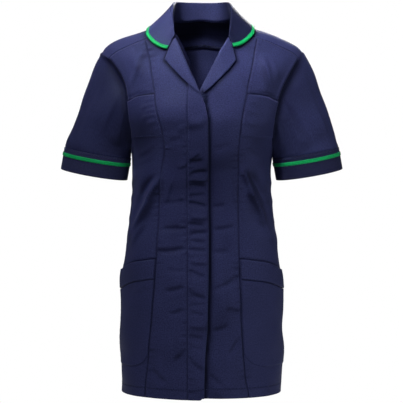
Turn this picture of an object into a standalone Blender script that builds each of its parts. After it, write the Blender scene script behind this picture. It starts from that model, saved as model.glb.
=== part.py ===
"""Short-sleeved work tunic, filled out as when worn.

Metres, +Z up. The front faces -Y and the wearer's right is at -X. The origin is in the middle of the
neck opening, level with the side of the neck. Sizes in the tables are in millimetres.
The torso is one curved surface. A place on it is an angle and a level: the angle is 0 at centre front,
90 at the side seam and 180 at centre back. The level is millimetres below the bust line, as a negative
number, or degrees up the arch that runs from the bust line over the shoulder.
"""
import math

import bmesh
import bpy
import numpy as np

MM = 0.001

# Driving sizes in millimetres
BUST_Z = -192.0
HEM_Z = -720.0
UNDERARM_Z = -252.0
SHOULDER_TIP_X = 197.0
FRONT_CHEST_HALF = 138.0
BACK_CHEST_HALF = 142.0
RIGHT_ARMHOLE_FLARE = 2.8
LEFT_ARMHOLE_FLARE = 1.5
BACK_ARMHOLE_FLARE = 2.8
FRONT_ARCH_POWER = 1.0
BACK_ARCH_POWER = 0.75
SECTION_POWER = 2.4
CLOTH = 1.2
SEAM_GAP = 0.3
FLY_THICKNESS = 3.0
FLY_STITCH_X = 27.0
UNDERLAP_SET_BACK = 3.5
UNDERLAP_X = (18.0, 44.0)
UNDERLAP_Z = (-72.0, -112.0)
FRONT_SEAM_LEVEL = 62.0

# Torso sections, from the bust line down
TORSO_COLUMNS = ("z", "half_width", "front_depth", "back_depth")
TORSO = (
    (-192.0, 152.0, 124.0, 116.0),
    (-215.0, 147.5, 122.0, 114.0),
    (-240.0, 141.0, 118.0, 111.0),
    (-265.0, 136.8, 113.0, 108.0),
    (-300.0, 134.5, 108.0, 104.0),
    (-345.0, 135.5, 105.0, 103.0),
    (-386.0, 140.0, 107.0, 109.0),
    (-425.0, 146.0, 111.0, 119.0),
    (-464.0, 151.0, 115.0, 127.0),
    (-503.0, 154.5, 118.0, 131.0),
    (-581.0, 156.5, 121.0, 130.0),
    (-659.0, 157.0, 123.0, 129.0),
    (-720.0, 155.5, 125.0, 128.0),
)

# Rise of the hem above its lowest place, for each side, by the angle
HEM_COLUMNS = ("angle", "right", "left")
HEM_RISE = (
    (0.0, 0.0, 3.2), (20.0, 1.8, 3.2), (45.0, 3.0, 3.6), (90.0, 3.2, 3.4), (180.0, 3.3, 3.3),
)

# Seam of the yoke with the back: share of the half width, then the level
BACK_SEAM_COLUMNS = ("share", "level")
BACK_SEAM = ((0.0, 40.5), (0.15, 42.8), (0.3, 45.5), (0.6, 47.5), (1.0, 47.0))

# Shoulder line from the middle of the neck to the tip
RIDGE_COLUMNS = ("x", "z")
RIDGE = (
    (0.0, 30.0), (30.0, 21.0), (63.0, 4.5), (90.0, -8.5), (116.0, -18.5),
    (140.0, -26.5), (162.0, -35.0), (180.0, -43.5), (190.0, -50.5), (197.0, -58.0),
)

# Princess seams, x measured toward the panel's own side
SEAM_COLUMNS = ("z", "x")
PRINCESS_RIGHT = (
    (-30.0, 110.0), (-51.0, 106.0), (-109.0, 97.0), (-148.0, 89.5), (-184.0, 82.0), (-216.0, 74.0),
    (-252.0, 70.5), (-280.0, 74.5), (-336.0, 79.0), (-394.0, 82.0), (-445.0, 85.0), (-509.0, 89.5),
    (-556.0, 93.0), (-636.0, 100.0), (-720.0, 107.0),
)
PRINCESS_LEFT = (
    (-30.0, 107.0), (-55.0, 103.5), (-92.0, 98.0), (-130.0, 89.0), (-177.0, 78.5), (-214.0, 73.0),
    (-252.0, 70.0), (-345.0, 69.0), (-439.0, 70.0), (-496.0, 72.0), (-589.0, 75.0), (-636.0, 78.0),
    (-676.0, 81.5), (-720.0, 88.0),
)

# Inner edges of the fronts: the roll line above the break, the closing edge below it
RIGHT_FRONT_EDGE = (
    (-20.0, 61.0), (-36.0, 50.0), (-88.0, 27.0), (-137.5, 5.0), (-149.0, 1.0), (-166.0, -6.0),
    (-196.0, -12.0), (-345.0, -12.7), (-401.0, -13.6), (-495.0, -12.7), (-588.0, -10.8),
    (-644.0, -6.2), (-720.0, -4.3),
)
LEFT_FRONT_EDGE = (
    (-20.0, 61.0), (-36.0, 49.5), (-137.5, -4.0), (-158.0, -17.0), (-180.0, -18.0), (-720.0, -18.0),
)

# Large soft folds: a ridge from one point to the other, in front view; side is 1 in front, -1 behind
FOLD_COLUMNS = ("side", "x1", "z1", "x2", "z2", "width", "height")
FOLDS = (
    (1, -80.0, -310.0, -112.0, -368.0, 10.0, 3.2),
    (1, -108.0, -360.0, -138.0, -418.0, 11.0, 3.4),
    (1, -122.0, -292.0, -108.0, -340.0, 9.0, 2.0),
    (1, 78.0, -285.0, 95.0, -334.0, 10.0, 3.0),
    (1, 92.0, -326.0, 118.0, -380.0, 11.0, 3.6),
    (1, 114.0, -372.0, 142.0, -428.0, 12.0, 3.2),
    (1, 121.0, -78.0, 131.0, -140.0, 10.0, 2.4),
    (1, -136.0, -66.0, -114.0, -112.0, 11.0, 2.2),
    (1, -60.0, -560.0, -52.0, -719.0, 16.0, 1.6),
    (1, 50.0, -600.0, 58.0, -719.0, 15.0, 1.8),
    (-1, -34.0, -300.0, -96.0, -372.0, 13.0, 3.2),
    (-1, 40.0, -308.0, 104.0, -362.0, 12.0, 3.4),
    (-1, -70.0, -350.0, -126.0, -404.0, 12.0, 2.6),
    (-1, 82.0, -336.0, 130.0, -412.0, 12.0, 2.4),
    (-1, -100.0, -120.0, -122.0, -210.0, 13.0, 2.4),
    (-1, 104.0, -112.0, 118.0, -198.0, 12.0, 2.6),
    (-1, 58.0, -560.0, 64.0, -719.0, 16.0, 2.4),
    (-1, -66.0, -590.0, -72.0, -719.0, 16.0, 2.0),
)

# Sleeves, on the side where x is positive
CUFF_CENTRE = (209.5, -4.0, -297.0)
CUFF_OUTWARD = (64.0, 0.0, 11.0)
CUFF_FORWARD = (0.0, -46.0, -5.0)
CUFF_DOWN = (0.17, 0.0, -0.985)
CUFF_DEPTH = 43.0
CUFF_THICKNESS = 2.4
CUFF_PROUD = 0.9
BRAID_WIDTH = 7.0
BRAID_THICKNESS = 1.0
CUFF_BRAID_TOP = 34.0
SLEEVE_END_DIRECTION = (0.27, 0.0, -0.963)
SLEEVE_CAP_SPRING = 0.12
SLEEVE_LEAN_TIP = 8.0
SLEEVE_LEAN_UNDERARM = 95.0
SLEEVE_LEAN_REACH = 150.0
SLEEVE_STEPS = (0.0, 0.05, 0.13, 0.25, 0.4, 0.58, 0.78, 1.0)

# Folds along the sleeve: degrees round it from the outside toward the front, then the share of its length
SLEEVE_FOLD_COLUMNS = ("degrees", "start", "end", "width", "height")
SLEEVE_FOLDS_RIGHT = (
    (0.0, 0.0, 0.95, 45.0, -3.4), (62.0, 0.2, 0.95, 16.0, 2.6), (112.0, 0.1, 0.8, 15.0, 2.0),
    (250.0, 0.15, 0.9, 18.0, 2.6),
)
SLEEVE_FOLDS_LEFT = (
    (50.0, 0.15, 0.9, 15.0, 2.8), (88.0, 0.25, 0.95, 14.0, 2.6), (262.0, 0.2, 0.9, 18.0, 2.4),
)
SLEEVE_FOLD_TAPER = 0.15

# Neck seam on the torso, and the collar that stands on it
NAPE_LEVEL = 116.0
SIDE_NECK_LEVEL = 88.0
SIDE_NECK_X = 63.0
FRONT_NECK_X = 60.0
SIDE_NECK_SHARE = 0.7
COLLAR_THICKNESS = 2.0
COLLAR_SEAT = 0.85
COLLAR_NECK_REACH = 0.93
COLLAR_NECK_END = (-22.5, -35.0)
ROLL_RADIUS = 3.0
FALL_BULGE = -0.6
COLLAR_COLUMNS = (
    "share", "roll_x", "roll_y", "roll_z", "right_edge_x", "left_edge_x", "edge_level", "edge_lift",
)
COLLAR = (
    (0.00, 0.0, 61.0, 43.5, 0.0, 0.0, 128.0, 3.0),
    (0.14, 21.0, 59.0, 43.5, 34.0, 34.0, 124.2, 3.0),
    (0.29, 40.0, 49.5, 43.5, 64.0, 63.0, 118.0, 2.6),
    (0.43, 49.5, 32.0, 41.5, 87.0, 84.0, 109.0, 2.2),
    (0.57, 52.5, 8.5, 36.0, 100.5, 96.0, 94.0, 2.0),
    (0.71, 54.0, -19.0, 25.5, 105.5, 100.5, 78.0, 2.0),
    (0.80, 55.0, -36.0, 14.0, 105.0, 99.5, 67.0, 2.2),
    (0.87, 54.5, -49.5, 1.5, 97.5, 91.0, 58.0, 2.6),
    (0.94, 53.5, -63.0, -15.0, 82.0, 76.0, 50.0, 3.0),
    (1.00, 51.5, -76.5, -32.5, 66.0, 60.0, 45.5, 3.4),
)

# Lapels in front view: t runs down the roll line
LAPEL_COLUMNS = ("t", "roll_x", "roll_z", "edge_x", "edge_z")
LAPEL_RIGHT = (
    (0.0, 50.3, -37.5, 64.5, -61.0),
    (0.2, 41.5, -57.0, 71.5, -78.0),
    (0.4, 32.5, -78.0, 57.5, -94.0),
    (0.6, 23.0, -99.0, 40.5, -112.0),
    (0.8, 14.0, -119.0, 22.0, -130.0),
    (1.0, 5.5, -138.0, 4.5, -146.0),
)
LAPEL_LEFT = (
    (0.0, 49.8, -37.5, 60.5, -60.0),
    (0.2, 39.0, -56.0, 66.0, -80.0),
    (0.4, 29.5, -74.5, 52.0, -98.0),
    (0.6, 20.0, -93.0, 35.0, -116.0),
    (0.8, 10.5, -111.0, 18.0, -132.0),
    (1.0, 1.5, -128.0, 4.0, -143.0),
)
LAPEL_THICKNESS = 1.8
LAPEL_CLEARANCE = 0.7
LAPEL_SPRING = 1.8

# Pockets: share of the side front's width, then the height of the edges
POCKET_COLUMNS = ("share", "top", "bottom")
CHEST_POCKET = (
    (0.0, -147.0, -226.0),
    (0.5, -149.5, -227.0),
    (1.0, -158.5, -228.0),
)
HIP_POCKET = (
    (0.0, -457.5, -636.0),
    (0.08, -458.5, -650.0),
    (0.2, -461.0, -658.0),
    (0.35, -463.5, -661.0),
    (1.0, -482.0, -662.0),
)
HIP_BAND_DEPTH = 37.0
POCKET_THICKNESS = 1.2
BAND_THICKNESS = 2.2
POCKET_CLEARANCE = 0.5
POCKET_ENDS = (0.012, 0.985)
CHEST_POCKET_SPRING = 0.9
BAND_SPRING = 1.6
BAND_SPRING_BELOW = 0.6

# Mesh steps
LOWER_ROWS = 22
UNDERARM_ROWS = 5
UPPER_ROWS = 9
BACK_UPPER_ROWS = 7
FRONT_CENTRE_COLUMNS = 6
FRONT_SIDE_COLUMNS = 7
BACK_COLUMNS = 24
YOKE_ARMHOLE_LEVELS = (118.0, 104.0, 90.0, 76.0, 62.0)
YOKE_RINGS = 7
YOKE_RING_CROWDING = 1.5
YOKE_BACK_SHARE = 0.6
YOKE_FRONT_GAP = 0.6
COLLAR_STEPS = 14

# Colours, linear
NAVY = (0.026, 0.032, 0.09, 1.0)
NAVY_CUFF = (0.018, 0.021, 0.055, 1.0)
GREEN = (0.011, 0.24, 0.08, 1.0)


def curve(table, columns, key, value, at):
    """Read one column of a table at a place, on a smooth curve that never overshoots its rows."""
    places = [row[columns.index(key)] for row in table]
    values = [row[columns.index(value)] for row in table]
    if places[0] > places[-1]:
        places.reverse()
        values.reverse()
    at = min(max(at, places[0]), places[-1])
    slopes = [0.0] * len(places)
    for i in range(1, len(places) - 1):
        before = (values[i] - values[i - 1]) / (places[i] - places[i - 1])
        after = (values[i + 1] - values[i]) / (places[i + 1] - places[i])
        if before * after > 0.0:
            slopes[i] = 2.0 * before * after / (before + after)
    for i in range(len(places) - 1):
        if at <= places[i + 1]:
            span = places[i + 1] - places[i]
            t = (at - places[i]) / span
            rise = values[i + 1] - values[i]
            start = slopes[i] * span
            end = slopes[i + 1] * span
            return values[i] + t * start + t * t * (3 * rise - 2 * start - end) + t**3 * (start + end - 2 * rise)
    return values[-1]


def straight(table, columns, key, value, at):
    """Read one column of a table at a place, on straight lines between its rows."""
    places = [row[columns.index(key)] for row in table]
    values = [row[columns.index(value)] for row in table]
    if places[0] > places[-1]:
        places.reverse()
        values.reverse()
    return float(np.interp(at, places, values))


def lerp(a, b, t):
    return a + (b - a) * t


def smooth_step(t):
    t = min(max(t, 0.0), 1.0)
    return t * t * (3.0 - 2.0 * t)


def unit(vector):
    return vector / np.linalg.norm(vector)


def signed_power(value, power):
    return math.copysign(abs(value) ** power, value)


# Torso surface

def torso_size(column, z):
    return curve(TORSO, TORSO_COLUMNS, "z", column, z)


def ridge_z(x):
    return curve(RIDGE, RIDGE_COLUMNS, "x", "z", abs(x))


def chest_half(behind):
    return BACK_CHEST_HALF if behind else FRONT_CHEST_HALF


def arch_width(level, behind, side):
    """Width from the middle to the armhole at a level of the arch; side is 1 on the left, -1 on the right."""
    base = chest_half(behind)
    flare = BACK_ARMHOLE_FLARE
    if not behind:
        flare = LEFT_ARMHOLE_FLARE if side > 0.0 else RIGHT_ARMHOLE_FLARE
    return base + (SHOULDER_TIP_X - base) * math.sin(math.radians(level)) ** flare


def angle_for(x, half_width):
    """Angle from centre front or centre back at which a section of this half width reaches x."""
    ratio = min(abs(x) / half_width, 1.0) ** (SECTION_POWER / 2.0)
    return math.copysign(math.degrees(math.asin(ratio)), x)


def armhole_angle(behind):
    return angle_for(chest_half(behind), torso_size("half_width", BUST_Z))


def skin(angle, level):
    """Point on the smooth torso, in metres."""
    turn = (angle + 180.0) % 360.0 - 180.0
    behind = abs(turn) > 90.0
    theta = math.radians(math.copysign(180.0 - abs(turn), turn) if behind else turn)
    across = signed_power(math.sin(theta), 2.0 / SECTION_POWER)
    deep = max(math.cos(theta), 0.0) ** (2.0 / SECTION_POWER)
    depth_column = "back_depth" if behind else "front_depth"
    facing = 1.0 if behind else -1.0
    if level <= 0.0:
        z = BUST_Z + level
        x = torso_size("half_width", z) * across
        y = facing * torso_size(depth_column, z) * deep
        return np.array((x, y, z)) * MM
    arch = math.radians(level)
    share = torso_size("half_width", BUST_Z) * across / chest_half(behind)
    x = share * arch_width(level, behind, turn)
    arch_power = BACK_ARCH_POWER if behind else FRONT_ARCH_POWER
    y = facing * torso_size(depth_column, BUST_Z) * deep * signed_power(math.cos(arch), arch_power)
    z = BUST_Z + (ridge_z(share * SHOULDER_TIP_X) - BUST_Z) * math.sin(arch)
    return np.array((x, y, z)) * MM


def skin_normal(angle, level):
    """Outward normal of the smooth torso."""
    step = 0.4
    sideways = 0.3
    behind = abs((angle + 180.0) % 360.0 - 180.0) > 90.0
    across = skin(angle + step, level) - skin(angle - step, level)
    up = skin(angle, level + step) - skin(angle, level - step) if abs(level) > step else \
        skin(angle, level + step) - skin(angle, level)
    normal = np.cross(across, up)
    if abs(normal[1]) > sideways * np.linalg.norm(normal):
        if normal[1] * (1.0 if behind else -1.0) < 0.0:
            normal = -normal
    else:
        outward = skin(angle, level) * np.array((1.0, 1.0, 0.0))
        outward[2] = max(level, 0.0) * MM
        if np.dot(normal, outward) < 0.0:
            normal = -normal
    return unit(normal)


def fold_height(x, z, side):
    """Height of the soft folds at a place in front view, in millimetres."""
    total = 0.0
    for fold_side, x1, z1, x2, z2, width, height in FOLDS:
        if fold_side != side:
            continue
        along = np.array((x2 - x1, z2 - z1))
        length = np.linalg.norm(along)
        offset = np.array((x - x1, z - z1))
        t = float(np.dot(offset, along)) / length**2
        apart = abs(float(along[0] * offset[1] - along[1] * offset[0])) / length
        taper = smooth_step((t + 0.25) / 0.5) * smooth_step((1.25 - t) / 0.5)
        total += height * taper * math.exp(-((apart / width) ** 2))
    return total


def torso(angle, level, lift=0.0, side_sign=0):
    """Point of the cloth's outer face moved out by lift, and the outward normal there."""
    point = skin(angle, level)
    normal = skin_normal(angle, level)
    x, y, z = point / MM
    height = fold_height(x, z, 1 if y < 0.0 else -1) + lift
    if side_sign > 0 and y < 0.0:
        sideways = smooth_step((UNDERLAP_X[1] - x) / (UNDERLAP_X[1] - UNDERLAP_X[0]))
        downward = smooth_step((UNDERLAP_Z[0] - z) / (UNDERLAP_Z[0] - UNDERLAP_Z[1]))
        height -= UNDERLAP_SET_BACK * sideways * downward
    return point + normal * height * MM, normal


def level_and_angle(x, z, side):
    """Level and angle from centre front of the point seen from the front at x and z."""
    if z <= BUST_Z:
        return z - BUST_Z, angle_for(x, torso_size("half_width", z))
    level = 30.0
    share = 0.0
    for _ in range(12):
        share = x / arch_width(level, False, side)
        height = (z - BUST_Z) / (ridge_z(share * SHOULDER_TIP_X) - BUST_Z)
        level = math.degrees(math.asin(min(height, 1.0)))
    return level, angle_for(share * FRONT_CHEST_HALF, torso_size("half_width", BUST_Z))


def seam_angle(seam, level, side):
    """Angle of a front seam at a level."""
    if level <= 0.0:
        z = BUST_Z + level
        return angle_for(straight_or_curve(seam, z), torso_size("half_width", z))
    share = 0.5
    for _ in range(12):
        z = BUST_Z + (ridge_z(share * SHOULDER_TIP_X) - BUST_Z) * math.sin(math.radians(level))
        share = straight_or_curve(seam, z) / arch_width(level, False, side)
    return angle_for(share * FRONT_CHEST_HALF, torso_size("half_width", BUST_Z))


def straight_or_curve(seam, z):
    if seam in (RIGHT_FRONT_EDGE, LEFT_FRONT_EDGE):
        return straight(seam, SEAM_COLUMNS, "z", "x", z)
    return curve(seam, SEAM_COLUMNS, "z", "x", z)


def side_edge_angle(level, behind):
    """Angle of the side seam, of the curved underarm and of the armhole, from below to above."""
    top = armhole_angle(behind)
    underarm = UNDERARM_Z - BUST_Z
    if level <= underarm:
        return 90.0
    if level >= 0.0:
        return top
    rise = 1.0 - level / underarm
    return top + (90.0 - top) * (1.0 - math.sqrt(1.0 - (1.0 - rise) ** 2))


def lower_levels():
    """Levels from the hem to the bust line, closer together round the underarm."""
    hem = HEM_Z - BUST_Z
    underarm = UNDERARM_Z - BUST_Z
    levels = [lerp(hem, underarm, i / LOWER_ROWS) for i in range(LOWER_ROWS)]
    for i in range(UNDERARM_ROWS + 1):
        levels.append(underarm * math.cos(math.radians(90.0 * i / UNDERARM_ROWS)))
    levels[-1] = 0.0
    return levels


def front_levels():
    return lower_levels() + [FRONT_SEAM_LEVEL * (i + 1) / UPPER_ROWS for i in range(UPPER_ROWS)]


def back_seam_level(share):
    return curve(BACK_SEAM, BACK_SEAM_COLUMNS, "share", "level", abs(share))


def hem_level(angle, level):
    """Level with the hem's rise taken up by the lowest part of the cloth."""
    if level >= 0.0:
        return level
    turn = (angle + 180.0) % 360.0 - 180.0
    side = "left" if turn > 0.0 else "right"
    rise = curve(HEM_RISE, HEM_COLUMNS, "angle", side, abs(turn))
    return level + rise * (level / (HEM_Z - BUST_Z)) ** 6


# Building walls

def trim(points, gap, left=True, right=True, bottom=True, top=True):
    """Draw the chosen borders of a grid in by half a seam's gap, toward the next row or column."""
    moved = points.copy()
    half = gap * MM / 2.0

    def draw_in(edge, inner):
        return edge + (inner - edge) * (half / np.linalg.norm(inner - edge, axis=-1, keepdims=True))

    if left:
        moved[:, 0] = draw_in(moved[:, 0], moved[:, 1])
    if right:
        moved[:, -1] = draw_in(moved[:, -1], moved[:, -2])
    if bottom:
        moved[0] = draw_in(moved[0], moved[1])
    if top:
        moved[-1] = draw_in(moved[-1], moved[-2])
    return moved


def material(name, colour, roughness=0.85):
    made = bpy.data.materials.new(name)
    made.use_nodes = True
    shader = made.node_tree.nodes["Principled BSDF"]
    shader.inputs["Base Color"].default_value = colour
    shader.inputs["Roughness"].default_value = roughness
    shader.inputs["Metallic"].default_value = 0.0
    made.diffuse_color = colour
    return made


def wall(name, outer, inner, colour, closed=False):
    """Closed wall between two grids of points; a closed one runs round and meets itself."""
    rows, columns = outer.shape[:2]
    bm = bmesh.new()
    bmesh.ops.create_grid(bm, x_segments=columns - 1, y_segments=rows - 1, size=1.0)
    place = bm.verts.layers.int.new("place")
    outside = outer.reshape(-1, 3)
    inside = inner.reshape(-1, 3)
    for index, vert in enumerate(bm.verts):
        vert[place] = index
        vert.co = outside[index]
    if closed:
        bmesh.ops.remove_doubles(bm, verts=bm.verts[:], dist=1e-7)
    extruded = bmesh.ops.extrude_face_region(bm, geom=bm.faces[:])
    for item in extruded["geom"]:
        if isinstance(item, bmesh.types.BMVert):
            item.co = inside[item[place]]
    bmesh.ops.recalc_face_normals(bm, faces=bm.faces[:])
    mesh = bpy.data.meshes.new(name)
    bm.to_mesh(mesh)
    bm.free()
    mesh.shade_smooth()
    mesh.set_sharp_from_angle(angle=math.radians(40.0))
    made = bpy.data.objects.new(name, mesh)
    made.data.materials.append(material(name, colour))
    bpy.context.scene.collection.objects.link(made)


def torso_wall(name, grid, thickness, side_sign, trims):
    """Wall on the torso from a grid of (angle, level) places."""
    rows = len(grid)
    columns = len(grid[0])
    outer = np.zeros((rows, columns, 3))
    normals = np.zeros((rows, columns, 3))
    for j in range(rows):
        for i in range(columns):
            angle, level = grid[j][i]
            outer[j, i], normals[j, i] = torso(angle, hem_level(angle, level), 0.0, side_sign)
    outer = trim(outer, SEAM_GAP, **trims)
    wall(name, outer, outer - normals * thickness * MM, NAVY)


# Fronts, back and yoke

def front_centre(name, sign, edge, princess):
    grid = []
    for level in front_levels():
        inner = seam_angle(edge, level, sign)
        if sign < 0:
            inner = max(inner, fly_stitch_angle(level))
        outer = seam_angle(princess, level, sign)
        steps = range(FRONT_CENTRE_COLUMNS + 1)
        grid.append([(sign * lerp(inner, outer, i / FRONT_CENTRE_COLUMNS), level) for i in steps])
    torso_wall(name, grid, CLOTH, sign, {"bottom": False})


def fly_stitch_angle(level):
    if level <= 0.0:
        return angle_for(FLY_STITCH_X, torso_size("half_width", BUST_Z + level))
    share = FLY_STITCH_X / arch_width(level, False, -1)
    return angle_for(share * FRONT_CHEST_HALF, torso_size("half_width", BUST_Z))


def front_placket():
    """Closing strip of the wearer's right front, from its stitch line to its free edge."""
    columns = 3
    narrowest = 1.5
    grid = []
    for level in front_levels():
        edge = seam_angle(RIGHT_FRONT_EDGE, level, -1)
        stitch = fly_stitch_angle(level)
        if stitch - edge < narrowest:
            break
        grid.append([(-lerp(edge, stitch, i / columns), level) for i in range(columns + 1)])
    torso_wall("front_placket", grid, FLY_THICKNESS, -1, {"bottom": False, "left": False})


def side_front_angle(share, level, princess, side):
    return lerp(seam_angle(princess, level, side), side_edge_angle(level, False), share)


def front_side(name, sign, princess):
    grid = []
    for level in front_levels():
        shares = [i / FRONT_SIDE_COLUMNS for i in range(FRONT_SIDE_COLUMNS + 1)]
        grid.append([(sign * side_front_angle(share, level, princess, sign), level) for share in shares])
    torso_wall(name, grid, CLOTH, sign, {"bottom": False})


def back_angles(level):
    """Angles of the back's columns at a level, from the wearer's right round to the left."""
    edge = side_edge_angle(level, True)
    return [180.0 + lerp(edge, -edge, i / BACK_COLUMNS) for i in range(BACK_COLUMNS + 1)]


def back():
    grid = [[(angle, level) for angle in back_angles(level)] for level in lower_levels()]
    shares = [abs(2.0 * i / BACK_COLUMNS - 1.0) for i in range(BACK_COLUMNS + 1)]
    for row in range(1, BACK_UPPER_ROWS + 1):
        part = row / BACK_UPPER_ROWS
        angles = back_angles(1.0)
        grid.append([(angle, back_seam_level(share) * part) for angle, share in zip(angles, shares)])
    torso_wall("back", grid, CLOTH, 0, {"bottom": False})


def neck_place(share):
    """Half width and level, 180 being the back's bust line, of the neck seam from nape to front."""
    if share <= SIDE_NECK_SHARE:
        turn = math.radians(90.0 * share / SIDE_NECK_SHARE)
        level = SIDE_NECK_LEVEL + (NAPE_LEVEL - SIDE_NECK_LEVEL) * math.cos(turn)
        return SIDE_NECK_X * math.sin(turn), level
    rest = (share - SIDE_NECK_SHARE) / (1.0 - SIDE_NECK_SHARE)
    return lerp(SIDE_NECK_X, FRONT_NECK_X, rest), lerp(SIDE_NECK_LEVEL, FRONT_SEAM_LEVEL, rest)


def over_shoulder(share, level, side, lift=0.0):
    """Point and normal at a share of the half width and a level that runs on over the shoulder, to 180 behind."""
    behind = level > 90.0
    angle = angle_for(share * chest_half(behind), torso_size("half_width", BUST_Z))
    if behind:
        return torso(side * (180.0 - angle), 180.0 - level, lift)
    return torso(side * angle, level, lift)


def half_width_share(x, level, side):
    """Share of the half width that x is at a level that runs on over the shoulder."""
    behind = level > 90.0
    return x / arch_width(180.0 - level if behind else level, behind, side)


def yoke():
    back_half = BACK_COLUMNS // 2
    armhole_steps = len(YOKE_ARMHOLE_LEVELS)
    last = back_half + armhole_steps
    lines = []
    for step in range(-last, last + 1):
        k = abs(step)
        side = -1 if step < 0 else 1
        if k <= back_half:
            neck_share = YOKE_BACK_SHARE * k / back_half
            angle = armhole_angle(True) * k / back_half
            x_part = signed_power(math.sin(math.radians(angle)), 2.0 / SECTION_POWER)
            outer_share = x_part * torso_size("half_width", BUST_Z) / BACK_CHEST_HALF
            outer_level = 180.0 - back_seam_level(k / back_half)
        else:
            neck_share = lerp(YOKE_BACK_SHARE, 1.0, (k - back_half) / armhole_steps)
            outer_share = 1.0
            outer_level = YOKE_ARMHOLE_LEVELS[k - back_half - 1]
        x, neck_level = neck_place(neck_share)
        neck_part = half_width_share(x, neck_level, side)
        line = []
        for ring in range(YOKE_RINGS + 1):
            t = 1.0 - (1.0 - ring / YOKE_RINGS) ** YOKE_RING_CROWDING
            line.append(over_shoulder(lerp(neck_part, outer_share, t), lerp(neck_level, outer_level, t), side))
        lines.append(line)
    points = np.array([[point for point, _ in line] for line in lines])
    normals = np.array([[normal for _, normal in line] for line in lines])
    outer = trim(points, SEAM_GAP, left=False, bottom=False, top=False)
    outer = trim(outer, YOKE_FRONT_GAP, left=False, right=False)
    wall("yoke", outer, outer - normals * CLOTH * MM, NAVY)


# Sleeves

def armhole(side):
    """Armhole edge from the shoulder tip round the front, underarm and back, as if on the left."""
    places = [(level, False) for level in YOKE_ARMHOLE_LEVELS if level <= 90.0]
    front = [level for level in front_levels() if level >= UNDERARM_Z - BUST_Z - 0.1]
    places += [(level, False) for level in reversed(front[:-1])]
    back_top = back_seam_level(1.0)
    upper = [back_top * row / BACK_UPPER_ROWS for row in range(1, BACK_UPPER_ROWS + 1)]
    lower = [level for level in lower_levels() if level > UNDERARM_Z - BUST_Z + 0.1]
    places += [(level, True) for level in lower + upper]
    places += [(180.0 - level, True) for level in YOKE_ARMHOLE_LEVELS if level > 90.0]
    result = []
    for level, behind in places:
        angle = side_edge_angle(min(level, 0.0), behind) if level <= 0.0 else armhole_angle(behind)
        result.append(torso(side * (180.0 - angle if behind else angle), level))
    points = np.array([point for point, _ in result])
    normals = np.array([normal for _, normal in result])
    return mirrored(points, side), mirrored(normals, side)


def round_shares(points):
    """Degrees round the sleeve for each armhole point: 0 at the tip, 90 in front, 180 underarm."""
    underarm = int(np.argmin(points[:, 2]))
    steps = np.linalg.norm(np.diff(np.vstack((points, points[:1])), axis=0), axis=1)
    travelled = np.concatenate(([0.0], np.cumsum(steps)))
    front = travelled[underarm]
    total = travelled[-1]
    degrees = []
    for index in range(len(points)):
        here = travelled[index]
        if index <= underarm:
            degrees.append(180.0 * here / front)
        else:
            degrees.append(180.0 + 180.0 * (here - front) / (total - front))
    return degrees


def grid_normals(points, closed):
    """Normals of a grid of points, pointing away from its middle line when closed."""
    if closed:
        ring = np.concatenate((points[:, -2:-1], points, points[:, 1:2]), axis=1)
        across = ring[:, 2:] - ring[:, :-2]
    else:
        across = np.gradient(points, axis=1)
    along = np.gradient(points, axis=0)
    normals = np.cross(across, along)
    return normals / np.linalg.norm(normals, axis=-1, keepdims=True)


def cuff_ring(degrees, above_hem, proud=0.0):
    """Points of the sleeve band's face at a height above its hem."""
    outward = np.array(CUFF_OUTWARD)
    forward = np.array(CUFF_FORWARD)
    down = np.array(CUFF_DOWN)
    points = []
    for turn in degrees:
        a = math.radians(turn)
        rim = outward * math.cos(a) + forward * math.sin(a)
        away = unit(outward * math.cos(a) / outward[0] ** 2 + forward * math.sin(a) / forward[1] ** 2)
        points.append((np.array(CUFF_CENTRE) + rim - down * above_hem + away * proud) * MM)
    return np.array(points)


def mirrored(points, sign):
    return points * np.array((sign, 1.0, 1.0))


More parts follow.
